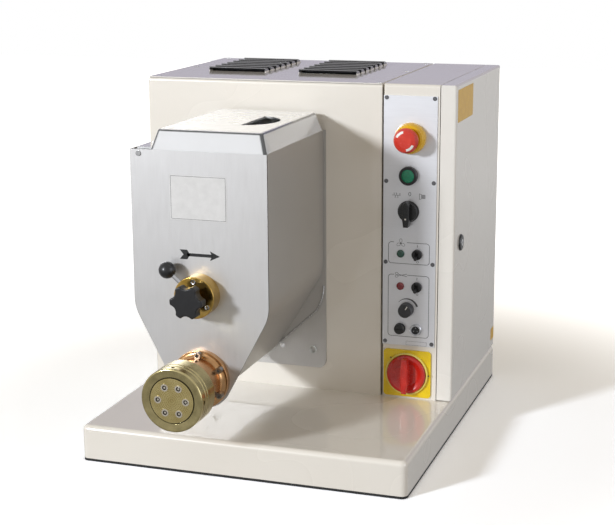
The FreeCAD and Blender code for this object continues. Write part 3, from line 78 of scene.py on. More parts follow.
def closeFinish(tree, colour, rough, relief, edgeMm, **shader):
    # relief is a height and its depth in mm; edgeMm rounds the corners to the eye
    edge = add(tree, "ShaderNodeBevel", {"Radius": edgeMm / 1000}, samples=3)
    raised = add(tree, "ShaderNodeBump", {
        "Strength": 1.0, "Distance": relief[1] / 1000, "Height": relief[0],
        "Normal": edge.outputs["Normal"]})
    sockets = {"Base Color": colour, "Roughness": rough, "Normal": raised.outputs["Normal"]}
    for key, given in shader.items():
        sockets[key.replace("_", " ")] = given
    made = add(tree, "ShaderNodeBsdfPrincipled", sockets)
    add(tree, "ShaderNodeOutputMaterial", {"Surface": made.outputs["BSDF"]})


def lumps(tree, where, sizeMm, low=0.0, high=1.0, stretch=(1, 1, 1), detail=3.0):
    # a noise whose lumps are about sizeMm across, drawn out where stretch is small, spread from low to high
    placed = add(tree, "ShaderNodeMapping", {"Vector": where, "Scale": stretch})
    noise = add(tree, "ShaderNodeTexNoise", {
        "Vector": placed.outputs["Vector"], "Scale": 1000 / sizeMm, "Detail": detail})
    return add(tree, "ShaderNodeMapRange", {
        "Value": noise.outputs["Fac"], "From Min": 0.3, "From Max": 0.7, "To Min": low, "To Max": high,
    }).outputs["Result"]


def layered(tree, groundHex, *coats):
    # a ground colour with each coat laid over it as far as its share says
    ground = linearColour(groundHex)
    for share, hexText in coats:
        ground = add(tree, "ShaderNodeMix", {
            "Factor": share, 6: ground, 7: linearColour(hexText)}, data_type="RGBA").outputs[2]
    return ground


def facing(tree, axis, low, high, bothWays=False):
    # 0 to 1 as the surface turns towards an axis of its own object, so it holds in every pose
    normal = add(tree, "ShaderNodeTexCoord").outputs["Normal"]
    if bothWays:
        normal = add(tree, "ShaderNodeVectorMath", {0: normal}, operation="ABSOLUTE").outputs["Vector"]
    parts = add(tree, "ShaderNodeSeparateXYZ", {"Vector": normal})
    return add(tree, "ShaderNodeMapRange", {
        "Value": parts.outputs[axis], "From Min": low, "From Max": high}).outputs["Result"]


def enamel(name, lowHex, highHex, paintedUndersideHex=None, paintedHoodHex=None, hoodsFrom=0.0):
    # stoved gloss enamel on sheet steel: an even colour under a wet clear shine, its orange peel 12 mm long;
    # faces that look down may take a painted shade colour, and what stands above hoodsFrom a painted dark
    # reflection
    made, tree, where = openFinish(name)
    coats = [(lumps(tree, where, 200, detail=0.0), highHex)]
    if paintedUndersideHex:
        # painted shade on faces that look down
        coats.append((facing(tree, "Z", -0.02, -0.10), paintedUndersideHex))
    if paintedHoodHex:
        # painted dark reflection on what stands above hoodsFrom
        height = add(tree, "ShaderNodeSeparateXYZ", {"Vector": where}).outputs["Z"]
        above = add(tree, "ShaderNodeMath", {0: height, 1: hoodsFrom}, operation="GREATER_THAN").outputs[0]
        coats.append((above, paintedHoodHex))
    closeFinish(
        tree, layered(tree, lowHex, *coats), lumps(tree, where, 120, 0.24, 0.28, detail=0.0),
        (lumps(tree, where, 12, detail=0.0), 0.001), 0.6, Coat_Weight=1.0, Coat_Roughness=0.03)
    return made


def brushedSteel(name, lowHex, highHex, stretch, rough, sideShadeHex=None):
    # stainless sheet ground one way: its fine scratches scatter light, so it is a dull, part-white metal;
    # the lines are drawn 0.7 mm apart, not 0.1, to show
    made, tree, where = openFinish(name)
    lines = lumps(tree, where, 0.7, stretch=stretch, detail=4.0)
    cloud = lumps(tree, where, 90, 0.35, 0.65, detail=1.0)
    tone = add(tree, "ShaderNodeMix", {"Factor": 0.35, 2: cloud, 3: lines}, data_type="FLOAT").outputs[0]
    coats = [(tone, highHex)]
    # painted shade on faces that look sideways, such as a plate's cut edges
    if sideShadeHex:
        coats.append((facing(tree, "Y", 0.6, 0.4, bothWays=True), sideShadeHex))
    worn = add(tree, "ShaderNodeMapRange", {"Value": lines, "To Min": rough - 0.03, "To Max": rough + 0.05})
    closeFinish(
        tree, layered(tree, lowHex, *coats), worn.outputs["Result"], (lines, 0.004), 0.4, Metallic=0.6)
    return made


def turnedMetal(name, lowHex, highHex, centre, rough=0.22, stepMm=0.9, gapShadeFromMm=None):
    # metal turned on a lathe about a front-to-back axis: faint rings on its faces, lines round its sides;
    # beyond the given rim radius from the axis it is painted dark, as shade in the joint around it
    made, tree, where = openFinish(name)
    axis = spot(centre.x, 0, centre.z)
    placed = add(tree, "ShaderNodeMapping", {"Vector": where, "Location": (-axis.x, 0, -axis.z)})
    parts = add(tree, "ShaderNodeSeparateXYZ", {"Vector": placed.outputs["Vector"]})
    flat = add(tree, "ShaderNodeCombineXYZ", {"X": parts.outputs["X"], "Y": parts.outputs["Z"]})
    reach = add(tree, "ShaderNodeVectorMath", {0: flat.outputs["Vector"]}, operation="LENGTH")
    along = add(tree, "ShaderNodeMath", {0: reach.outputs["Value"], 1: parts.outputs["Y"]}, operation="ADD")
    rings = add(tree, "ShaderNodeTexNoise", {
        "W": along.outputs[0], "Scale": 1000 / stepMm, "Detail": 3.0}, noise_dimensions="1D").outputs["Fac"]
    cloud = lumps(tree, where, 16, 0.0, 1.0, detail=4.0)
    tone = add(tree, "ShaderNodeMix", {"Factor": 0.8, 2: rings, 3: cloud}, data_type="FLOAT").outputs[0]
    coats = [(tone, highHex)]
    if gapShadeFromMm:
        inGapShade = add(tree, "ShaderNodeMath", {
            0: reach.outputs["Value"], 1: gapShadeFromMm / 1000}, operation="GREATER_THAN").outputs[0]
        # painted shade in the joint
        coats.append((inGapShade, "#2c2618"))
    worn = add(tree, "ShaderNodeMapRange", {
        "Value": rings, "From Min": 0.3, "From Max": 0.7, "To Min": rough - 0.03, "To Max": rough + 0.05})
    closeFinish(
        tree, layered(tree, lowHex, *coats), worn.outputs["Result"], (rings, 0.004), 0.5, Metallic=1.0)
    return made


def plainMetal(name, lowHex, highHex, rough=0.2, lumpMm=6.0, bumpMm=0.01, metallic=1.0):
    # plated, ground or cast metal: small uneven patches and no direction
    made, tree, where = openFinish(name)
    patches = lumps(tree, where, lumpMm, detail=4.0)
    closeFinish(
        tree, layered(tree, lowHex, (patches, highHex)),
        lumps(tree, where, lumpMm / 4, rough, rough + 0.12), (patches, bumpMm), 0.3, Metallic=metallic)
    return made


def moulded(name, lowHex, highHex, rough=0.3, sparkMm=0.8, bumpMm=0.01, coat=0.0):
    # injection-moulded plastic or rubber: a fine spark-eroded skin and very slight clouding
    made, tree, where = openFinish(name)
    skin = lumps(tree, where, sparkMm, detail=2.0)
    closeFinish(
        tree, layered(tree, lowHex, (lumps(tree, where, 12), highHex)),
        lumps(tree, where, sparkMm * 2, rough - 0.03, rough + 0.05), (skin, bumpMm), 0.4,
        Coat_Weight=coat, Coat_Roughness=0.05)
    return made


def dress(finish, *names):
    for name in names:
        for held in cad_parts[name].material_slots:
            held.material = finish


# Finishes, each from what the real surface is.

hopperAxis = middleOf("star_knob")
barrelAxis = middleOf("ring_nut")

creamEnamel = enamel("stovedCreamEnamel", "#ebe6dc", "#ede9e0")  # warm white, the cabinet's own colour
hoodsFoot = spot(0, 0, 579.6).z  # just above the flat sheet of the top cover
topEnamel = enamel(  # its louvres' hoods are painted dark grey as a reflection of dark surroundings, and their undersides painted darker as shade
    "stovedCreamEnamelTop", "#e9e5de", "#ebe7e0", "#232325", "#6a6a6e", hoodsFoot)
doorEnamel = enamel("stovedCreamEnamelDoor", "#ebe8e1", "#eceae4")
# the front plate's cut edges are painted dark as shade
frontSteel = brushedSteel("brushedHopperFront", "#c5c4c3", "#cfcecd", (1, 1, 0.02), 0.38, "#5d5a55")
troughSteel = brushedSteel("satinTroughSheet", "#b0ada7", "#bbb8b2", (1, 0.03, 1), 0.42)  # duller, rolled; its colour is set darker as painted shade for the dark surroundings its side reflects
# its colour, like the trough's, is set darker than the front plate's as painted shade
backSteel = brushedSteel("satinBackPlate", "#b0ada9", "#bcbab6", (1, 1, 0.03), 0.46)
panelSteel = brushedSteel("brushedPanelSheet", "#dbdce0", "#e4e5e9", (0.02, 1, 1), 0.36)
zincSteel = plainMetal("zincPlatedSteel", "#a8a8a4", "#c0c0bc", 0.3, 8)  # bright zinc: pale and softly dull
boltSteel = plainMetal("oiledSocketSteel", "#8d8a88", "#a9a6a3", 0.24, 2)  # oiled alloy steel, worn pale
screwSteel = plainMetal("grimyScrewSteel", "#4f4f51", "#7d7d7f", 0.3, 1.5, 0.02)  # plated, dark with use
shaftSteel = turnedMetal("turnedStainlessShaft", "#a9a9a8", "#c8c8c7", hopperAxis, 0.2)
gearSteel = plainMetal("cutGearSteel", "#6e6e70", "#8c8c8e", 0.3, 5)  # hobbed, oily
racesSteel = plainMetal("groundRaceSteel", "#a4a4a8", "#bcbcc0", 0.15, 3)
rodSteel = plainMetal("drawnStainlessRod", "#a4a4a4", "#c4c4c4", 0.2, 4)
castIron = plainMetal("primedCastIron", "#5b5f63", "#6c7074", 0.5, 2.0, 0.12, 0.3)  # sand skin, primed
motorPaint = plainMetal("greyMotorPaint", "#6c7176", "#7b8085", 0.38, 2.5, 0.05, 0.1)
chrome = plainMetal("polishedChrome", "#c6c6c8", "#dcdcde", 0.07, 10, 0.003)
coreSteel = plainMetal("stackedCoreSheet", "#45464a", "#5b5c60", 0.4, 1.5, 0.05, 0.7)
bearingBrass = turnedMetal("turnedBearingBrass", "#b38f41", "#d6b268", hopperAxis, 0.22, 0.8)  # yellow
barrelBronze = turnedMetal("turnedBarrelBronze", "#b28356", "#d4a97a", barrelAxis, 0.22)  # redder, tin bronze
# past 34.1 mm from the axis the die is painted dark, as the shade in its gap to the ring nut
dieBronze = turnedMetal("turnedDieBronze", "#bda96c", "#d8c68c", barrelAxis, 0.26, 0.9, 34.1)
nutBrass = turnedMetal("oliveTurnedBrass", "#a3966a", "#cfc08d", barrelAxis, 0.2, 1.1)  # aged, olive
augerBronze = turnedMetal("turnedAugerBronze", "#b08450", "#cfa873", barrelAxis, 0.26)
edging = moulded("blackRubberEdging", "#161616", "#222222", 0.62, 1.2, 0.03)
knobPlastic = moulded("charcoalPhenolicKnob", "#0e0e10", "#161618", 0.34, 0.9, 0.02)  # pressed, satin
blackPlastic = moulded("blackSelectorPlastic", "#101011", "#1b1b1c", 0.28, 0.9, 0.012)
bezelPlastic = moulded("blackBezelPlastic", "#131314", "#1f1f21", 0.34)
speedPlastic = moulded("darkGreyKnobPlastic", "#2c2d30", "#3a3b3e", 0.42, 0.7, 0.02)
fusePlastic = moulded("mattBlackCapPlastic", "#1b1c1c", "#292a2a", 0.46, 0.7, 0.02)
yellowPlastic = moulded("yellowCollarPlastic", "#e0ae00", "#ecba06", 0.26, 0.9, 0.006, 0.2)
redPlastic = moulded("redMushroomPlastic", "#cc2f1f", "#d83c2a", 0.24, 1.0, 0.005, 0.3)
plateYellow = moulded("yellowPlatePlastic", "#e8c600", "#f0d20c", 0.28, 0.9, 0.006, 0.2)
rimYellow = moulded("paleYellowRimPlastic", "#f1e36b", "#f6ea88", 0.26, 0.9, 0.005, 0.3)
dialRed = moulded("redDialPlastic", "#b8180d", "#cc2314", 0.24, 0.9, 0.006, 0.4)
greenLens = moulded("greenButtonLens", "#007e5a", "#02906a", 0.2, 2.0, 0.002, 0.2)
lampGreen = moulded("greenLampLens", "#04392c", "#0c5341", 0.14, 1.5, 0.004, 0.7)
lampRed = moulded("redLampLens", "#6a0a10", "#8c1218", 0.14, 1.5, 0.004, 0.7)
greyPlastic = moulded("greyApparatusPlastic", "#7c7e7e", "#8b8d8d", 0.42)
beigePlastic = moulded("beigeTerminalPlastic", "#b8af98", "#c8c0aa", 0.44)
boxPlastic = moulded("darkSwitchBlockPlastic", "#26272a", "#323337", 0.42)
sealRubber = moulded("blackLipSealRubber", "#141414", "#202020", 0.6, 0.8, 0.02)
whiteFilm = moulded("whiteVinylLabel", "#d2d2d1", "#dadad9", 0.34, 1.5, 0.003)
yellowFilm = moulded("yellowVinylLabel", "#dfae1c", "#e9bb2e", 0.32, 1.5, 0.003)
blackInk = moulded("blackScreenInk", "#101011", "#1a1a1b", 0.4, 0.8, 0.002)
greyInk = moulded("greyScreenInk", "#4b4c50", "#585a5e", 0.45, 0.8, 0.002)
whiteInk = moulded("whiteFilledMark", "#e6e6e2", "#f2f2ee", 0.4, 0.8, 0.002)
darkInside = moulded("darkInsertPlastic", "#0b0b0c", "#121213", 0.4)

# the edge colour is a painted shade along the lid's bends; the hazes, set per face, paint its white glare
lidLook = {
    "white": "#fbfdff", "edge": "#5c5e60", "topGlareHaze": 0.95, "frontGlareHaze": 0.75, "sideGlareHaze": 0.55,
    "ripple": 30, "rippleDepth": 0.2,
}


def clearSheet(look):
    # moulded polycarbonate, 3 mm thick: its haze is set per face, most on top and least on the sides, as a
    # painted white glare on its broad faces, and a painted dark line of shade lies along its bends
    made, tree, where = openFinish("clearMouldedPolycarbonate")
    normal = add(tree, "ShaderNodeTexCoord").outputs["Normal"]
    whole = add(tree, "ShaderNodeVectorMath", {0: normal}, operation="ABSOLUTE").outputs["Vector"]
    parts = add(tree, "ShaderNodeSeparateXYZ", {"Vector": whole}).outputs
    most = add(tree, "ShaderNodeMath", {0: parts["X"], 1: parts["Y"]}, operation="MAXIMUM").outputs[0]
    most = add(tree, "ShaderNodeMath", {0: most, 1: parts["Z"]}, operation="MAXIMUM").outputs[0]
    # painted shade: a dark line where the sheet bends
    bend = add(tree, "ShaderNodeMapRange", {
        "Value": most, "From Min": 0.94, "From Max": 0.84}).outputs["Result"]
    # painted glare: how hazy and white each face is depends on which way it looks
    clear = 1 - look["topGlareHaze"]
    for axis, haze in (("X", look["sideGlareHaze"]), ("Y", look["frontGlareHaze"])):
        clear = add(tree, "ShaderNodeMapRange", {
            "Value": parts[axis], "From Min": 0.6, "From Max": 0.9, "To Min": clear, "To Max": 1 - haze,
        }).outputs["Result"]
    closeFinish(
        tree, layered(tree, look["white"], (bend, look["edge"])), lumps(tree, where, 9, 0.02, 0.06),
        (lumps(tree, where, look["ripple"], detail=1.0), look["rippleDepth"]), 0.8,
        Transmission_Weight=clear, IOR=1.49, Coat_Weight=1.0, Coat_Roughness=0.03)
    return made


def insertFinish():
    # white bronze, polished on its rim, and painted dark down its bore as the shade inside it
    made, tree, where = openFinish("whiteBronzeInsert")
    depth = add(tree, "ShaderNodeSeparateXYZ", {"Vector": where}).outputs["Y"]
    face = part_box("die_inserts")[0].y
    # painted shade, from 0.6 mm deep into the bore
    boreShade = add(tree, "ShaderNodeMapRange", {
        "Value": depth, "From Min": face + 0.0006, "From Max": face + 0.0012}).outputs["Result"]
    closeFinish(
        tree, layered(tree, "#d8cdb8", (lumps(tree, where, 3), "#efe8da"), (boreShade, "#4a4234")),
        lumps(tree, where, 1, 0.16, 0.26), (lumps(tree, where, 2), 0.004), 0.2, Metallic=0.9)
    return made


def pullFinish():
    # a black phenolic ball on a chromed rod: the finish changes where the ball's surface starts
    made, tree, where = openFinish("blackBallOnChromedRod")
    low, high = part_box("pull_pin")
    radius = (high.y - low.y) / 2
    ball = Vector((low.x + radius, (low.y + high.y) / 2, high.z - radius))
    reach = add(tree, "ShaderNodeVectorMath", {0: where, 1: ball}, operation="DISTANCE").outputs["Value"]
    rod = add(tree, "ShaderNodeMath", {0: reach, 1: radius + 0.0004}, operation="GREATER_THAN").outputs[0]
    satin = lumps(tree, where, 3, 0.3, 0.36)
    closeFinish(
        tree, layered(tree, "#1c1c1e", (rod, "#c8c8ca")), add(tree, "ShaderNodeMix", {
            "Factor": rod, 2: satin, 3: 0.1}, data_type="FLOAT").outputs[0],
        (lumps(tree, where, 1.0), 0.004), 0.3, Metallic=rod)
    return made


clearPlastic = clearSheet(lidLook)
ballAndRod = pullFinish()
insertBronze = insertFinish()
print("finishes made:", len(bpy.data.materials))

dress(creamEnamel, "base_tray", "main_housing", "control_column")
dress(topEnamel, "top_cover")
dress(doorEnamel, "side_door", "rear_cover")
dress(edging, "base_edging")
dress(frontSteel, "hopper_front_plate")
dress(troughSteel, "hopper_trough")
dress(backSteel, "hopper_back_plate")
dress(clearPlastic, "lid")
dress(rodSteel, "lid_rod")
dress(bearingBrass, "mixer_bearing")
dress(barrelBronze, "barrel")
dress(boltSteel, "barrel_bolts")
dress(augerBronze, "auger")
dress(dieBronze, "die_plate")
dress(insertBronze, "die_inserts")
dress(nutBrass, "ring_nut")
dress(knobPlastic, "star_knob")
dress(blackPlastic, "selector_base", "selector_knob", "fuse_holder", "cable_gland", "lock_case")
dress(ballAndRod, "pull_pin")
dress(shaftSteel, "mixer_shaft", "pinion_shaft")
dress(gearSteel, "gear_mixer", "gear_auger", "pinion")
dress(racesSteel, "bearings")
dress(castIron, "gear_case", "gear_cover")
dress(motorPaint, "motor")
dress(zincSteel, "equipment_tray", "hinge_leaves", "hinge_straps")
dress(panelSteel, "control_panel")
dress(yellowPlastic, "stop_collar")
dress(redPlastic, "stop_head")
dress(bezelPlastic, "start_bezel", "toggle_bushes", "toggle_upper", "toggle_lower")
dress(greenLens, "start_button")
dress(lampGreen, "lamp_green")
dress(lampRed, "lamp_red")
dress(speedPlastic, "speed_knob")
dress(fusePlastic, "fuse_cap")
dress(chrome, "accessory_socket", "lock_plug")
dress(plateYellow, "switch_plate")
dress(dialRed, "switch_handle")
dress(boxPlastic, "switch_box")
dress(greyPlastic, "contactors")
dress(beigePlastic, "terminal_block")
dress(coreSteel, "transformer")
dress(sealRubber, "shaft_seals")
print("frame dressed:", len(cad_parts))


# Tools for meshes.

def shaped(name, bm, finish, body=None):
    bmesh.ops.remove_doubles(bm, verts=bm.verts, dist=1e-6)
    bmesh.ops.recalc_face_normals(bm, faces=bm.faces)
    mesh = bpy.data.meshes.new(name)
    bm.to_mesh(mesh)
    bm.free()
    for face in mesh.polygons:
        face.use_smooth = True
    mesh.set_sharp_from_angle(angle=math.radians(35))
    mesh.materials.append(finish)
    made = bpy.data.objects.new(name, mesh)
    bpy.context.scene.collection.objects.link(made)
    if body:
        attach(made, body)
    return made


def spun(bm, profile, origin, steps=48, turn=None):
    # turns (radius, depth) points in mm about an axis that runs front to back through origin
    rows = []
    turn = turn or Matrix.Identity(3)
    for radius, depth in profile:
        row = []
        for k in range(1 if radius < 1e-6 else steps):
            angle = 2 * math.pi * k / steps
            away = Vector((radius * math.cos(angle), depth, radius * math.sin(angle))) / 1000
            row.append(bm.verts.new(origin + turn @ away))
        rows.append(row)
    for low, high in zip(rows, rows[1:]):
        for k in range(steps):
            a, b = low[k % len(low)], low[(k + 1) % len(low)]
            c, d = high[(k + 1) % len(high)], high[k % len(high)]
            around = [v for i, v in enumerate((a, b, c, d)) if v not in (a, b, c, d)[:i]]
            if len(around) > 2:
                bm.faces.new(around)


def slab(bm, outline, level, height, lay):
    # a flat shape from (u, v) points, between two levels; lay turns (u, v, level) into a place
    low = [bm.verts.new(lay(u, v, level)) for u, v in outline]
    high = [bm.verts.new(lay(u, v, level + height)) for u, v in outline]
    bm.faces.new(low)
    bm.faces.new(high[::-1])
    count = len(outline)
    for k in range(count):
        bm.faces.new((low[k], low[(k + 1) % count], high[(k + 1) % count], high[k]))


def roundBox(left, low, right, high, radius, steps=6):
    points = []
    for cx, cz, start in (
        (right - radius, high - radius, 0), (left + radius, high - radius, 90),
        (left + radius, low + radius, 180), (right - radius, low + radius, 270),
    ):
        for k in range(steps + 1):
            angle = math.radians(start + 90 * k / steps)
            points.append((cx + radius * math.cos(angle), cz + radius * math.sin(angle)))
    return points


def circlePoints(cx, cz, rx, rz=None, steps=24):
    angles = [2 * math.pi * k / steps for k in range(steps)]
    return [(cx + rx * math.cos(a), cz + (rz or rx) * math.sin(a)) for a in angles]


def strokes(points, width, closed=False):
    # a drawn line as four-sided bars with round joints
    shapes = []
    for (ax, az), (bx, bz) in zip(points, points[1:] + points[:1] if closed else points[1:]):
        run = Vector((bx - ax, bz - az))
        if run.length < 1e-6:
            continue
        side = Vector((-run.y, run.x)).normalized() * width / 2
        shapes.append([
            (ax + side.x, az + side.y), (ax - side.x, az - side.y),
            (bx - side.x, bz - side.y), (bx + side.x, bz + side.y),
        ])
    for px, pz in points:
        shapes.append(circlePoints(px, pz, width / 2, steps=8))
    return shapes


inkSink = 0.02  # how far in mm a print starts inside its surface


def printed(name, shapes, lay, level, height, finish, body):
    bm = bmesh.new()
    for outline in shapes:
        slab(bm, outline, level, height, lay)
    return shaped(name, bm, finish, body)


def onFront(u, v, level):
    # a place on a face that looks to the front; the level counts forward from the base's front
    return spot(u, -level, v)


def newTree(name, inputs, output):
    tree = bpy.data.node_groups.new(name, "GeometryNodeTree")
    for label, kind in inputs:
        tree.interface.new_socket(label, in_out="INPUT", socket_type="NodeSocket" + kind)
    tree.interface.new_socket(output, in_out="OUTPUT", socket_type="NodeSocketGeometry")
    return tree, add(tree, "NodeGroupInput").outputs


def grown(name, points, edges, tree, values, body):
    # runs a tree on a bare mesh of places or a path and keeps its result as a plain mesh
    start = bpy.data.meshes.new(name + "Start")
    start.from_pydata([spot(*p) for p in points], edges, [])
    base = bpy.data.objects.new(name + "Start", start)
    bpy.context.scene.collection.objects.link(base)
    held = base.modifiers.new("grow", "NODES")
    held.node_group = tree
    for item in tree.interface.items_tree:
        if item.in_out == "INPUT" and item.name in values:
            held[item.identifier] = values[item.name]
    seen = base.evaluated_get(bpy.context.evaluated_depsgraph_get())
    mesh = bpy.data.meshes.new_from_object(seen)
    base.modifiers.remove(held)
    mesh.name = name
    made = bpy.data.objects.new(name, mesh)
    bpy.context.scene.collection.objects.link(made)
    bpy.data.objects.remove(base)
    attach(made, body)
    return made


# Screws, set by one tree of geometry nodes.

def headTree():
    tree, given = newTree("setHeads", (
        ("Places", "Geometry"), ("Head", "Object"), ("Size", "Float"), ("Facing", "Vector"),
        ("Turn", "Float"), ("Seed", "Int"), ("Finish", "Material")), "Heads")
    points = add(tree, "GeometryNodeMeshToPoints", {"Mesh": given["Places"]})
    head = add(tree, "GeometryNodeObjectInfo", {"Object": given["Head"]})
    aimed = add(tree, "FunctionNodeEulerToRotation", {"Euler": given["Facing"]})
    held = add(tree, "GeometryNodeInstanceOnPoints", {
        "Points": points.outputs["Points"], "Instance": head.outputs["Geometry"],
        "Rotation": aimed.outputs["Rotation"], "Scale": given["Size"]})
    loose = add(tree, "FunctionNodeRandomValue", {
        2: 0.0, 3: given["Turn"], "Seed": given["Seed"]}, data_type="FLOAT")
    spin = add(tree, "ShaderNodeCombineXYZ", {"Z": loose.outputs[1]})
    spinBy = add(tree, "FunctionNodeEulerToRotation", {"Euler": spin.outputs["Vector"]})
    turned = add(tree, "GeometryNodeRotateInstances", {
        "Instances": held.outputs["Instances"], "Rotation": spinBy.outputs["Rotation"],
        "Local Space": True})
    real = add(tree, "GeometryNodeRealizeInstances", {"Geometry": turned.outputs["Instances"]})
    done = add(tree, "GeometryNodeSetMaterial", {
        "Geometry": real.outputs["Geometry"], "Material": given["Finish"]})
    add(tree, "NodeGroupOutput", {"Heads": done.outputs["Geometry"]})
    return tree


def headShape(name, profile, recess):
    # one screw head of 1 m radius on its own z axis, scaled by the tree, with its recess cut out
    bm = bmesh.new()
    turn = Euler((math.radians(90), 0, 0)).to_matrix()
    spun(bm, [(r * 1000, -d * 1000) for r, d in profile], Vector((0, 0, 0)), 24, turn)
    made = shaped(name, bm, zincSteel)
    if recess:
        cutter = bmesh.new()
        for outline, depth in recess:
            slab(cutter, outline, 1.4 - depth, 1.0, lambda u, v, w: Vector((u, v, w)))
        tool = shaped(name + "Cutter", cutter, zincSteel)
        cut = made.modifiers.new("recess", "BOOLEAN")
        cut.object = tool
        cut.operation = "DIFFERENCE"
        cut.solver = "EXACT"
        mesh = bpy.data.meshes.new_from_object(made.evaluated_get(bpy.context.evaluated_depsgraph_get()))
        made.modifiers.remove(cut)
        made.data = mesh
        bpy.data.objects.remove(tool)
    return made


slot = [(-0.55, -0.11), (0.55, -0.11), (0.55, 0.11), (-0.55, 0.11)]
hexagon = circlePoints(0, 0, 0.5, steps=6)
heads = {  # (radius, height) points of a head of unit radius, and the recess in it
    "pan": ([(0, -0.2), (1.0, -0.2), (1.0, 0.25), (0.9, 0.5), (0.6, 0.72), (0.25, 0.8), (0, 0.8)],
            [(slot, 1.0), ([(v, u) for u, v in slot][::-1], 1.0)]),
    "dome": ([(0, -0.2), (1.0, -0.2), (1.0, 0.1), (0.85, 0.42), (0.55, 0.62), (0, 0.7)], None),
    "socket": ([(0, -0.3), (1.0, -0.3), (1.0, 0.02), (0.9, 0.1), (0, 0.1)], [(hexagon, 1.75)]),
    "button": ([(0, -0.2), (1.0, -0.2), (1.0, 0.15), (0.75, 0.5), (0, 0.6)], [(hexagon, 1.2)]),
}
heads = {name: headShape(name + "Head", *parts) for name, parts in heads.items()}


def ringPlaces(centre, depth, radius, angles):
    turns = [math.radians(a) for a in angles]
    return [(centre.x + radius * math.cos(a), depth, centre.z + radius * math.sin(a)) for a in turns]


facings = {"front": (math.radians(90), 0, 0), "top": (0, 0, 0), "back": (math.radians(-90), 0, 0)}
screwSets = {  # head, radius in mm, facing, finish, places in mm
    "panelScrews": ("pan", 3.4, "front", screwSteel, [
        (x, 284.5, z) for x in (416.8, 495.3) for z in (556.5, 421.9, 288.3, 154.3)]),
    "topCoverScrews": ("dome", 4.2, "top", chrome, [
        (18, 294, 578), (16, 459, 578), (14, 620, 578), (207.6, 295, 578), (400, 300, 578),
        (396.5, 484, 578), (396.4, 620, 578)]),
    "backPlateScrews": ("socket", 7.0, "front", zincSteel, [
        (hopperAxis.x + s * out, 283, z) for s in (-1, 1) for out, z in ((89, 128), (98, 470))]),
    "backPlateDomes": ("button", 4.6, "front", chrome, ringPlaces(barrelAxis, 283, 40, (-30, -90, -150))),
    "bearingScrews": ("socket", 4.0, "front", chrome, ringPlaces(hopperAxis, -10.0, 25, (90, -30, -150))),
    "rearCoverScrews": ("pan", 3.6, "back", zincSteel, [
        (x, 629, z) for x in (14, 204.3, 394.6) for z in (72, 318, 563)]),
    "gearCoverScrews": ("socket", 4.5, "back", boltSteel, [
        (hopperAxis.x + s * 74.5, 339.5, z) for s in (-1, 1) for z in (170, 283.5, 370)]),
}
looseTurn = 1.5  # how far, in radians, a screw's recess may be turned from the next one's
setHeads = headTree()
for name, (head, size, looks, finish, places) in screwSets.items():
    grown(name, places, [], setHeads, {
        "Head": heads[head], "Size": size / 1000, "Facing": facings[looks], "Turn": looseTurn,
        "Seed": len(name), "Finish": finish}, "machine")
for head in heads.values():
    bpy.data.objects.remove(head)
print("screws set:", len(screwSets))

# The weld along the trough's joint with its back plate.

trough = {"half": 108.0, "foot": 33.0, "bend": 80.0, "taper": 32.0, "stand": 0.2}
weld = {"depth": 282.2, "ripple": 1.6, "bead": 1.7, "least": 0.85, "most": 1.15}


def troughLine(steps=10):
    # the trough's outside from the right-hand knee round its foot to the left-hand knee
    half, foot, bend = (trough[k] + trough["stand"] for k in ("half", "foot", "bend"))
    lean = math.radians(trough["taper"])
    knee = (half * math.cos(lean) - foot) / math.sin(lean)
    middle = (half - bend, knee - bend * math.tan(lean / 2))
    side = []
    for k in range(steps + 1):
        angle = -lean * k / steps
        side.append((middle[0] + bend * math.cos(angle), middle[1] + bend * math.sin(angle)))
    for k in range(steps + 1):
        angle = -lean - (math.pi / 2 - lean) * k / steps
        side.append((foot * math.cos(angle), foot * math.sin(angle)))
    side += [(-x, z) for x, z in side[-2::-1]]
    return [(barrelAxis.x + x, weld["depth"], barrelAxis.z + z) for x, z in side]


def weldTree():
    tree, given = newTree("layWeld", (
        ("Path", "Geometry"), ("Ripple", "Float"), ("Bead", "Float"), ("Seed", "Int"),
        ("Finish", "Material")), "Weld")
    curve = add(tree, "GeometryNodeMeshToCurve", {"Mesh": given["Path"]})
    even = add(tree, "GeometryNodeResampleCurve", {
        "Curve": curve.outputs["Curve"], "Length": given["Ripple"]}, mode="LENGTH")
    blob = add(tree, "GeometryNodeMeshIcoSphere", {"Radius": given["Bead"], "Subdivisions": 2})
    loose = add(tree, "FunctionNodeRandomValue", {
        2: weld["least"], 3: weld["most"], "Seed": given["Seed"]}, data_type="FLOAT")
    laid = add(tree, "GeometryNodeInstanceOnPoints", {
        "Points": even.outputs["Curve"], "Instance": blob.outputs["Mesh"], "Scale": loose.outputs[1]})
    real = add(tree, "GeometryNodeRealizeInstances", {"Geometry": laid.outputs["Instances"]})
    smooth = add(tree, "GeometryNodeSetShadeSmooth", {"Geometry": real.outputs["Geometry"]})
    done = add(tree, "GeometryNodeSetMaterial", {
        "Geometry": smooth.outputs["Geometry"], "Material": given["Finish"]})
    add(tree, "NodeGroupOutput", {"Weld": done.outputs["Geometry"]})
    return tree


weldPath = troughLine()
grown("troughWeld", weldPath, [(k, k + 1) for k in range(len(weldPath) - 1)], weldTree(), {
    "Ripple": weld["ripple"] / 1000, "Bead": weld["bead"] / 1000, "Seed": 4, "Finish": rodSteel}, "machine")
print("weld laid")

# The blank label and the turning arrow on the hopper's front.

hopperMarks = {
    "face": -15.7, "label": (157, 396, 248, 464), "corner": 1.5, "border": 1.6, "borderCorner": 1.0,
    "line": 0.5, "lineLevel": 0.1, "ink": 0.14, "film": 0.2,
}
hopperFace = hopperMarks["face"]
left, low, right, high = hopperMarks["label"]
printed("frontLabel", [roundBox(left, low, right, high, hopperMarks["corner"])], onFront,
        hopperFace - inkSink, hopperMarks["film"], whiteFilm, "machine")
inset = hopperMarks["border"]
border = roundBox(left + inset, low + inset, right - inset, high - inset, hopperMarks["borderCorner"])
printed("labelBorder", strokes(border, hopperMarks["line"], closed=True), onFront,
        hopperFace + hopperMarks["lineLevel"], hopperMarks["ink"], greyInk, "machine")

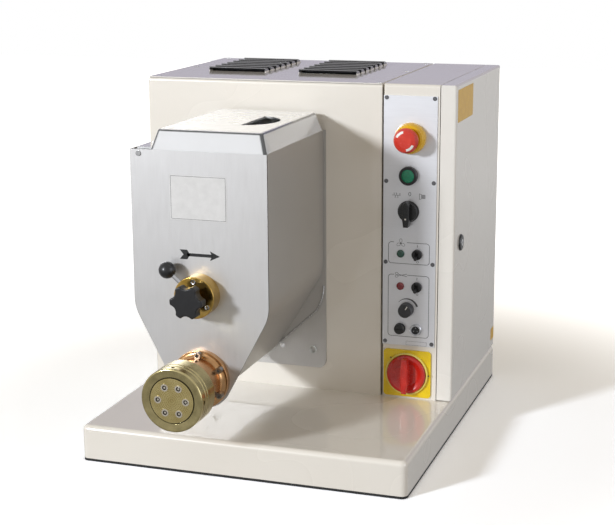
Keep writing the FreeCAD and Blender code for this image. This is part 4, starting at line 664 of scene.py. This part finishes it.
arrow = {
    "from": 170.7, "to": 235.6, "height": 343.4, "shaft": 2.4, "wing": 7.4, "head": 15.0, "fletch": 12.0,
    "barb": 1.0, "notch": 2.5, "tailNotch": 6.0, "fletchPoint": 5.0, "overlap": 3.0,
}
tail, tip, level, wing, shaft = (arrow[k] for k in ("from", "to", "height", "wing", "shaft"))
neck = tip - arrow["head"]
nock = tail + arrow["fletch"]
shaftEnd = neck + arrow["overlap"]
barb = neck - arrow["barb"]
notch = neck + arrow["notch"]
tailNotch = tail + arrow["tailNotch"]
point = nock + arrow["fletchPoint"]
shapes = [
    [(nock, level - shaft), (shaftEnd, level - shaft), (shaftEnd, level + shaft), (nock, level + shaft)],
    [(barb, level - wing), (tip, level), (notch, level)],
    [(notch, level), (tip, level), (barb, level + wing)],
    [(tail, level + wing), (tailNotch, level), (point, level), (nock, level + wing)],
    [(tailNotch, level), (tail, level - wing), (nock, level - wing), (point, level)],
]
printed("frontArrow", shapes, onFront, hopperFace - inkSink, hopperMarks["ink"], blackInk, "machine")

# What is printed on the panel: frames, plain signs for the lamps and levers, and the speed scale.

panel = {"face": -284.5, "ink": 0.12, "line": 0.8, "cornerRadius": 5.0}


def openFrame(box, gap):
    # a rounded frame whose top line is broken from one x to another
    radius, width, top = panel["cornerRadius"], panel["line"], box[3]
    ends = roundBox(*box, radius)
    left = [p for p in ends if p[0] < box[0] + radius + 0.01]
    right = [p for p in ends if p[0] > box[2] - radius - 0.01]
    low = [p for p in right if p[1] < box[1] + radius + 0.01]
    high = [p for p in right if p not in low]
    return strokes([(gap[0], top)] + left + low + high + [(gap[1], top)], width)


def fanSign(x, z, hub=1.3, middle=4.4, long=3.2, wide=2.3, line=0.5, steps=12):
    # a hub with three oval leaves
    shapes = [circlePoints(x, z, hub, steps=16)]
    for angle in (90, 210, 330):
        turn = Matrix.Rotation(math.radians(angle), 2)
        leaf = []
        for k in range(steps + 1):
            t = 2 * math.pi * k / steps
            u, v = turn @ Vector((middle + long * math.cos(t), wide * math.sin(t)))
            leaf.append((x + u, z + v))
        shapes += strokes(leaf, line)
    return shapes


def shearsSign(x, z, drop=2.3, grip=(2.4, 1.8), start=2.1, reach=17.0):
    # two grips and two crossed blades
    shapes = []
    for dz in (drop, -drop):
        shapes += strokes(circlePoints(x, z + dz, *grip, steps=14), 0.6, closed=True)
        shapes += strokes([(x + start, z + dz * 0.6), (x + reach, z - dz * 0.9)], 0.7)
    return shapes


def mixerSign(x, z, length=13.5, foot=1.0, line=0.6):
    # a shaft with its arms, each with a short foot
    shapes = strokes([(x, z), (x + length, z)], line)
    for dx, dz in ((3.2, 3.4), (7.0, 3.4), (5.1, -3.4), (9.2, -3.4), (12.6, 2.6)):
        shapes += strokes([(x + dx, z), (x + dx, z + dz)], line)
        shapes += strokes([(x + dx - foot, z + dz), (x + dx + foot, z + dz)], 0.5)
    return shapes


def strandsSign(x, z, first=-2.6, pitch=1.3, start=4.0, end=9.4):
    # a nozzle with strands coming out of it
    nozzle = [(x, z + 4.6), (x + 3.4, z + 3.4), (x + 3.4, z - 3.6), (x, z - 4.6)]
    shapes = strokes(nozzle, 0.6, closed=True)
    for k in range(5):
        level = z + first + pitch * k
        shapes += strokes([(x + start, level), (x + end, level)], 0.75)
    return shapes


def speedScale(centre, radius, thin=0.5, thick=3.5, start=140, end=18, steps=24):
    # a crescent that thickens with the speed, a fifth of it inside the radius; its angles are in degrees
    rim = []
    for k in range(steps + 1):
        t = k / steps
        angle = math.radians(start + (end - start) * t)
        wide = thin + (thick - thin) * t
        rim.append([(centre.x + r * math.cos(angle), centre.z + r * math.sin(angle)) for r in (
            radius - wide * 0.2, radius + wide * 0.8)])
    return [[rim[k][0], rim[k][1], rim[k + 1][1], rim[k + 1][0]] for k in range(steps)]


panelPlaces = {  # places of the marks, as x and z; each frame with the gap in its top line
    "fanFrame": ((421.4, 287.0, 489.7, 322.2), (430.0, 452.5)),
    "shearsFrame": ((421.5, 164.1, 489.8, 268.0), (431.0, 453.5)),
    "fan": (442.0, 320.6), "shears": (435.5, 267.4), "mixer": (427.0, 399.4), "strands": (472.2, 399.0),
    "ones": ((469.6, 317.0), (469.6, 262.7)), "oneHalf": 1.8,
    "noughts": ((470.2, 291.1), (470.2, 236.8)), "noughtRadius": 1.7,
    "offMark": (456.0, 402.3, 1.9, 2.9), "plateFrame": (452.4, 150.2, 486.8, 156.6), "scaleRadius": 17.4,
}
ink = openFrame(*panelPlaces["fanFrame"])
ink += openFrame(*panelPlaces["shearsFrame"])
ink += fanSign(*panelPlaces["fan"])
ink += shearsSign(*panelPlaces["shears"])
for x, z in panelPlaces["ones"]:  # over the levers
    ink += strokes([(x, z - panelPlaces["oneHalf"]), (x, z + panelPlaces["oneHalf"])], 0.8)
for x, z in panelPlaces["noughts"]:  # under the levers
    ink += strokes(circlePoints(x, z, panelPlaces["noughtRadius"], steps=16), 0.5, closed=True)
ink += strokes(circlePoints(*panelPlaces["offMark"], steps=20), 0.75, closed=True)
ink += mixerSign(*panelPlaces["mixer"])
ink += strandsSign(*panelPlaces["strands"])
left, low, right, high = panelPlaces["plateFrame"]
ink += strokes([(left, low), (right, low), (right, high), (left, high)], 0.35, closed=True)
ink += speedScale(middleOf("speed_knob"), panelPlaces["scaleRadius"])
printed("panelPrint", ink, onFront, panel["face"] - inkSink, panel["ink"], greyInk, "machine")
print("panel printed:", len(ink), "marks")


# Small marks and fittings on the controls.

def faceOf(node):
    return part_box(node)[0].y


stopMark = {
    "inner": 12.4, "outer": 16.2, "starts": (100, 280), "sweep": 56, "steps": 8, "flat": 11, "fall": 0.4,
    "sunk": 0.35, "thick": 0.6,
}


def onStop(u, v, level):
    # follows the mushroom's dome: its face falls away towards the rim
    fall = max(0.0, math.hypot(u, v) - stopMark["flat"]) * stopMark["fall"]
    middle = middleOf("stop_head")
    there = spot(middle.x + u, 0, middle.z + v)
    return Vector((there.x, faceOf("stop_head") + (fall - level) / 1000, there.z))


bm = bmesh.new()
inner, outer = stopMark["inner"], stopMark["outer"]
step = stopMark["sweep"] / stopMark["steps"]
for start in stopMark["starts"]:
    for k in range(stopMark["steps"]):
        a, b = math.radians(start + k * step), math.radians(start + (k + 1) * step)
        corners = ((inner, a), (outer, a), (outer, b), (inner, b))
        slab(bm, [(r * math.cos(t), r * math.sin(t)) for r, t in corners],
             -stopMark["sunk"], stopMark["thick"], onStop)
shaped("stopArrows", bm, whiteInk, "stop_mushroom")


speedPointer = {"turn": -28, "half": 0.8, "from": 3.2, "to": 9.4, "sunk": 0.2, "thick": 0.35}


def onSpeedKnob(u, v, level):
    # a place on the knob's face, turned to where its pointer stands
    middle = middleOf("speed_knob")
    away = Matrix.Rotation(math.radians(speedPointer["turn"]), 2) @ Vector((u, v))
    there = spot(middle.x + away.x, 0, middle.z + away.y)
    return Vector((there.x, faceOf("speed_knob") - level / 1000, there.z))


half, start, end = (speedPointer[k] for k in ("half", "from", "to"))
printed("speedPointer", [[(-half, start), (half, start), (half, end), (-half, end)]], onSpeedKnob,
        -speedPointer["sunk"], speedPointer["thick"], whiteInk, "speed_dial")

selectorDot = {
    "x": 454.2, "z": 364.5, "profile": [(0, 0.3), (1.5, 0.3), (1.5, -0.1), (1.1, -0.3), (0, -0.35)],
}
bm = bmesh.new()
dot = spot(selectorDot["x"], 0, selectorDot["z"])
spun(bm, selectorDot["profile"], Vector((dot.x, faceOf("selector_knob"), dot.z)), 20)
shaped("selectorDot", bm, whiteInk, "selector")

socket = {
    "pinRing": 3.6, "pinDepth": 3.6, "pin": [(0, 2.0), (1.1, 2.0), (1.1, -1.6), (0.7, -2.2), (0, -2.2)],
    "discDepth": 3.2, "disc": [(0, 0.4), (6.6, 0.4), (6.6, -0.3), (0, -0.3)],
}
socketAxis = middleOf("accessory_socket")


def inSocket(x, z, depth):
    there = spot(x, 0, z)
    return Vector((there.x, faceOf("accessory_socket") + depth / 1000, there.z))


bm = bmesh.new()
for x, y, z in ringPlaces(socketAxis, 0, socket["pinRing"], (90, 210, 330)):
    spun(bm, socket["pin"], inSocket(x, z, socket["pinDepth"]), 12)
shaped("socketPins", bm, chrome, "machine")
bm = bmesh.new()
spun(bm, socket["disc"], inSocket(socketAxis.x, socketAxis.z, socket["discDepth"]), 32)
shaped("socketInsert", bm, darkInside, "machine")

# The main switch's pale rim and the two small marks on its plate.

switchRim = {
    "depth": 279.5, "markRing": 37.6, "markAngles": (135, 0), "markRadius": 1.3, "ink": 0.14,
    "profile": [
        (33.2, 0.4), (33.2, -0.5), (34.2, -1.1), (35.4, -0.5), (35.7, 0.4), (35.7, 3.4), (33.2, 3.4),
        (33.2, 0.4)],
}
switchAxis = middleOf("switch_plate")
bm = bmesh.new()
spun(bm, switchRim["profile"], spot(switchAxis.x, switchRim["depth"], switchAxis.z), 72)
shaped("switchRim", bm, rimYellow, "machine")
marks = ringPlaces(switchAxis, 0, switchRim["markRing"], switchRim["markAngles"])
printed("switchMarks", [circlePoints(x, z, switchRim["markRadius"], steps=14) for x, y, z in marks],
        onFront, -switchRim["depth"] - inkSink, switchRim["ink"], blackInk, "machine")

# Blank yellow plates on the door, as left, low, right and high from its front edge and down from its top.

doorPlates = {"places": ((10, 60, 119, 8), (314, 503, 340, 481)), "corner": 2.0, "film": 0.2}
doorLow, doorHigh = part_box("side_door")


def doorLay(u, v, level):
    return Vector((doorHigh.x + level / 1000, doorLow.y + u / 1000, doorHigh.z - v / 1000))


plates = [roundBox(left, high, right, low, doorPlates["corner"])
          for left, low, right, high in doorPlates["places"]]
printed("doorPlates", plates, doorLay, -inkSink, doorPlates["film"], yellowFilm, "door")
print("marks and fittings made")

# The studio: a pale floor whose own glow rises away from the machine, painting light over its shadow far off,
# and whose reflection is painted dimmer near the machine; a grey screen that only glossy surfaces see, two
# lamps and a pale surround.
# Lamps and the aim are placed in mm as the parts are, the floor and the screen in metres from its middle.

studio = {
    "key": 184.0, "keyPlace": (-2192, -3709, 1680), "keySize": 0.5, "keyTint": "#f4f8ff",
    "fill": 50.0, "fillPlace": (4600, -600, 1300), "fillSize": 2.5, "fillTint": "#eef2ff",
    "aim": (250, 200, 300), "ambient": 0.38, "warm": "#fff0d9", "surround": 0.72,
    "screen": 0.8, "screenHex": "#c9c6d8", "screenAt": 2.9, "screenHalf": 3, "screenLow": 0.62,
    "screenHigh": 2.4, "floorHalf": 6, "floorHex": "#b0b0b0", "paper": (1.5, 1.56, 1.64),
    "glowFrom": 0.5, "glowTo": 1.3, "floorGlow": (0.0, 1.0),
    "glossFrom": 0.6, "glossTo": 2.6, "glossNear": 0.38, "glossFar": 0.6,
}


def rayKinds(tree):
    # 1 for the rays that leave the camera, and 1 for those that leave a glossy or a clear surface
    rays = add(tree, "ShaderNodeLightPath").outputs
    both = add(tree, "ShaderNodeMath", {
        0: rays["Is Glossy Ray"], 1: rays["Is Transmission Ray"]}, operation="MAXIMUM").outputs[0]
    return rays["Is Camera Ray"], both


def stagePlane(name, corners, finish):
    mesh = bpy.data.meshes.new(name)
    mesh.from_pydata(corners, [], [(0, 1, 2, 3)])
    made = bpy.data.objects.new(name, mesh)
    bpy.context.scene.collection.objects.link(made)
    mesh.materials.append(finish)
    return made


paper, tree, where = openFinish("paleStudioPaper")
seenDirectly, mirror = rayKinds(tree)
matt = add(tree, "ShaderNodeBsdfDiffuse", {"Color": linearColour(studio["floorHex"])})
away = add(tree, "ShaderNodeVectorMath", {0: where}, operation="LENGTH").outputs["Value"]
# painted reflection: glossy rays see the floor dimmer near the machine than far off
reflectionByDistance = add(tree, "ShaderNodeMapRange", {
    "Value": away, "From Min": studio["glossFrom"], "From Max": studio["glossTo"],
    "To Min": studio["glossNear"], "To Max": studio["glossFar"]})
light = add(tree, "ShaderNodeEmission", {"Color": (1, 1, 1, 1), "Strength": reflectionByDistance.outputs["Result"]})
bright = add(tree, "ShaderNodeBsdfDiffuse", {"Color": (*studio["paper"], 1.0)})
# painted light: for camera rays the floor glows from none near the machine to full white far off, so its
# shadow shows only close by
glowRisingAway = add(tree, "ShaderNodeMapRange", {
    "Value": away, "From Min": studio["glowFrom"], "From Max": studio["glowTo"],
    "To Min": studio["floorGlow"][0], "To Max": studio["floorGlow"][1]}, interpolation_type="SMOOTHSTEP")
white = add(tree, "ShaderNodeEmission", {"Color": (1, 1, 1, 1), "Strength": glowRisingAway.outputs["Result"]})
lit = add(tree, "ShaderNodeAddShader", {0: bright.outputs["BSDF"], 1: white.outputs["Emission"]})
seen = add(tree, "ShaderNodeMixShader", {
    "Fac": seenDirectly, 1: matt.outputs["BSDF"], 2: lit.outputs["Shader"]})
done = add(tree, "ShaderNodeMixShader", {
    "Fac": mirror, 1: seen.outputs["Shader"], 2: light.outputs["Emission"]})
add(tree, "ShaderNodeOutputMaterial", {"Surface": done.outputs["Shader"]})
half = studio["floorHalf"]
stagePlane("floor", [(-half, -half, 0), (half, -half, 0), (half, half, 0), (-half, half, 0)], paper)

cloth, tree, where = openFinish("greyScreenCloth")
light = add(tree, "ShaderNodeEmission", {
    "Color": linearColour(studio["screenHex"]), "Strength": studio["screen"]})
add(tree, "ShaderNodeOutputMaterial", {"Surface": light.outputs["Emission"]})
half, back, low, high = (studio["screen" + k] for k in ("Half", "At", "Low", "High"))
screen = stagePlane("screen", [
    (-half, back, low), (half, back, low), (half, back, high), (-half, back, high)], cloth)
for kind in ("camera", "diffuse", "transmission", "shadow", "volume_scatter"):
    setattr(screen, "visible_" + kind, False)

world = bpy.data.worlds.new("studio")
bpy.context.scene.world = world
world.use_nodes = True
tree = world.node_tree
tree.nodes.clear()
seenDirectly, mirror = rayKinds(tree)
level = add(tree, "ShaderNodeMix", {
    "Factor": mirror, 2: studio["ambient"], 3: studio["surround"]}, data_type="FLOAT").outputs[0]
level = add(tree, "ShaderNodeMix", {"Factor": seenDirectly, 2: level, 3: 1.0}, data_type="FLOAT").outputs[0]
either = add(tree, "ShaderNodeMath", {0: seenDirectly, 1: mirror}, operation="MAXIMUM").outputs[0]
sky = add(tree, "ShaderNodeBackground", {
    "Color": layered(tree, studio["warm"], (either, "#ffffff")), "Strength": level})
add(tree, "ShaderNodeOutputWorld", {"Surface": sky.outputs["Background"]})


def softBox(name, tint):
    lamp = bpy.data.lights.new(name + "Light", "AREA")
    lamp.energy = studio[name]
    lamp.size = studio[name + "Size"]
    lamp.color = linearColour(tint)[:3]
    held = bpy.data.objects.new(name + "Light", lamp)
    held.location = spot(*studio[name + "Place"])
    held.rotation_euler = (spot(*studio["aim"]) - held.location).to_track_quat("-Z", "Y").to_euler()
    bpy.context.scene.collection.objects.link(held)


softBox("key", studio["keyTint"])
softBox("fill", studio["fillTint"])

# The camera, as fitted to the photograph: its lens is given in pixels of a picture of that width.

view = {
    "place": (1029.3, -1914.3, 828.7), "yaw": 18.77, "pitch": 13.36, "roll": 0.33,
    "lensPx": 1435.6, "widthPx": 615, "sensorMm": 36,
}
camera = bpy.data.objects.new("camera", bpy.data.cameras.new("camera"))
bpy.context.scene.collection.objects.link(camera)
yaw, pitch, roll = (math.radians(view[k]) for k in ("yaw", "pitch", "roll"))
turned = Matrix.Rotation(yaw, 3, "Z") @ Matrix.Rotation(math.pi / 2 - pitch, 3, "X")
turned = turned @ Matrix.Rotation(-roll, 3, "Z")
camera.matrix_world = Matrix.Translation(spot(*view["place"])) @ turned.to_4x4()
camera.data.sensor_width = view["sensorMm"]
camera.data.lens = view["lensPx"] / view["widthPx"] * view["sensorMm"]
camera.data.clip_end = 50
bpy.context.scene.camera = camera
bpy.context.scene.view_settings.view_transform = "Standard"
print("studio ready")
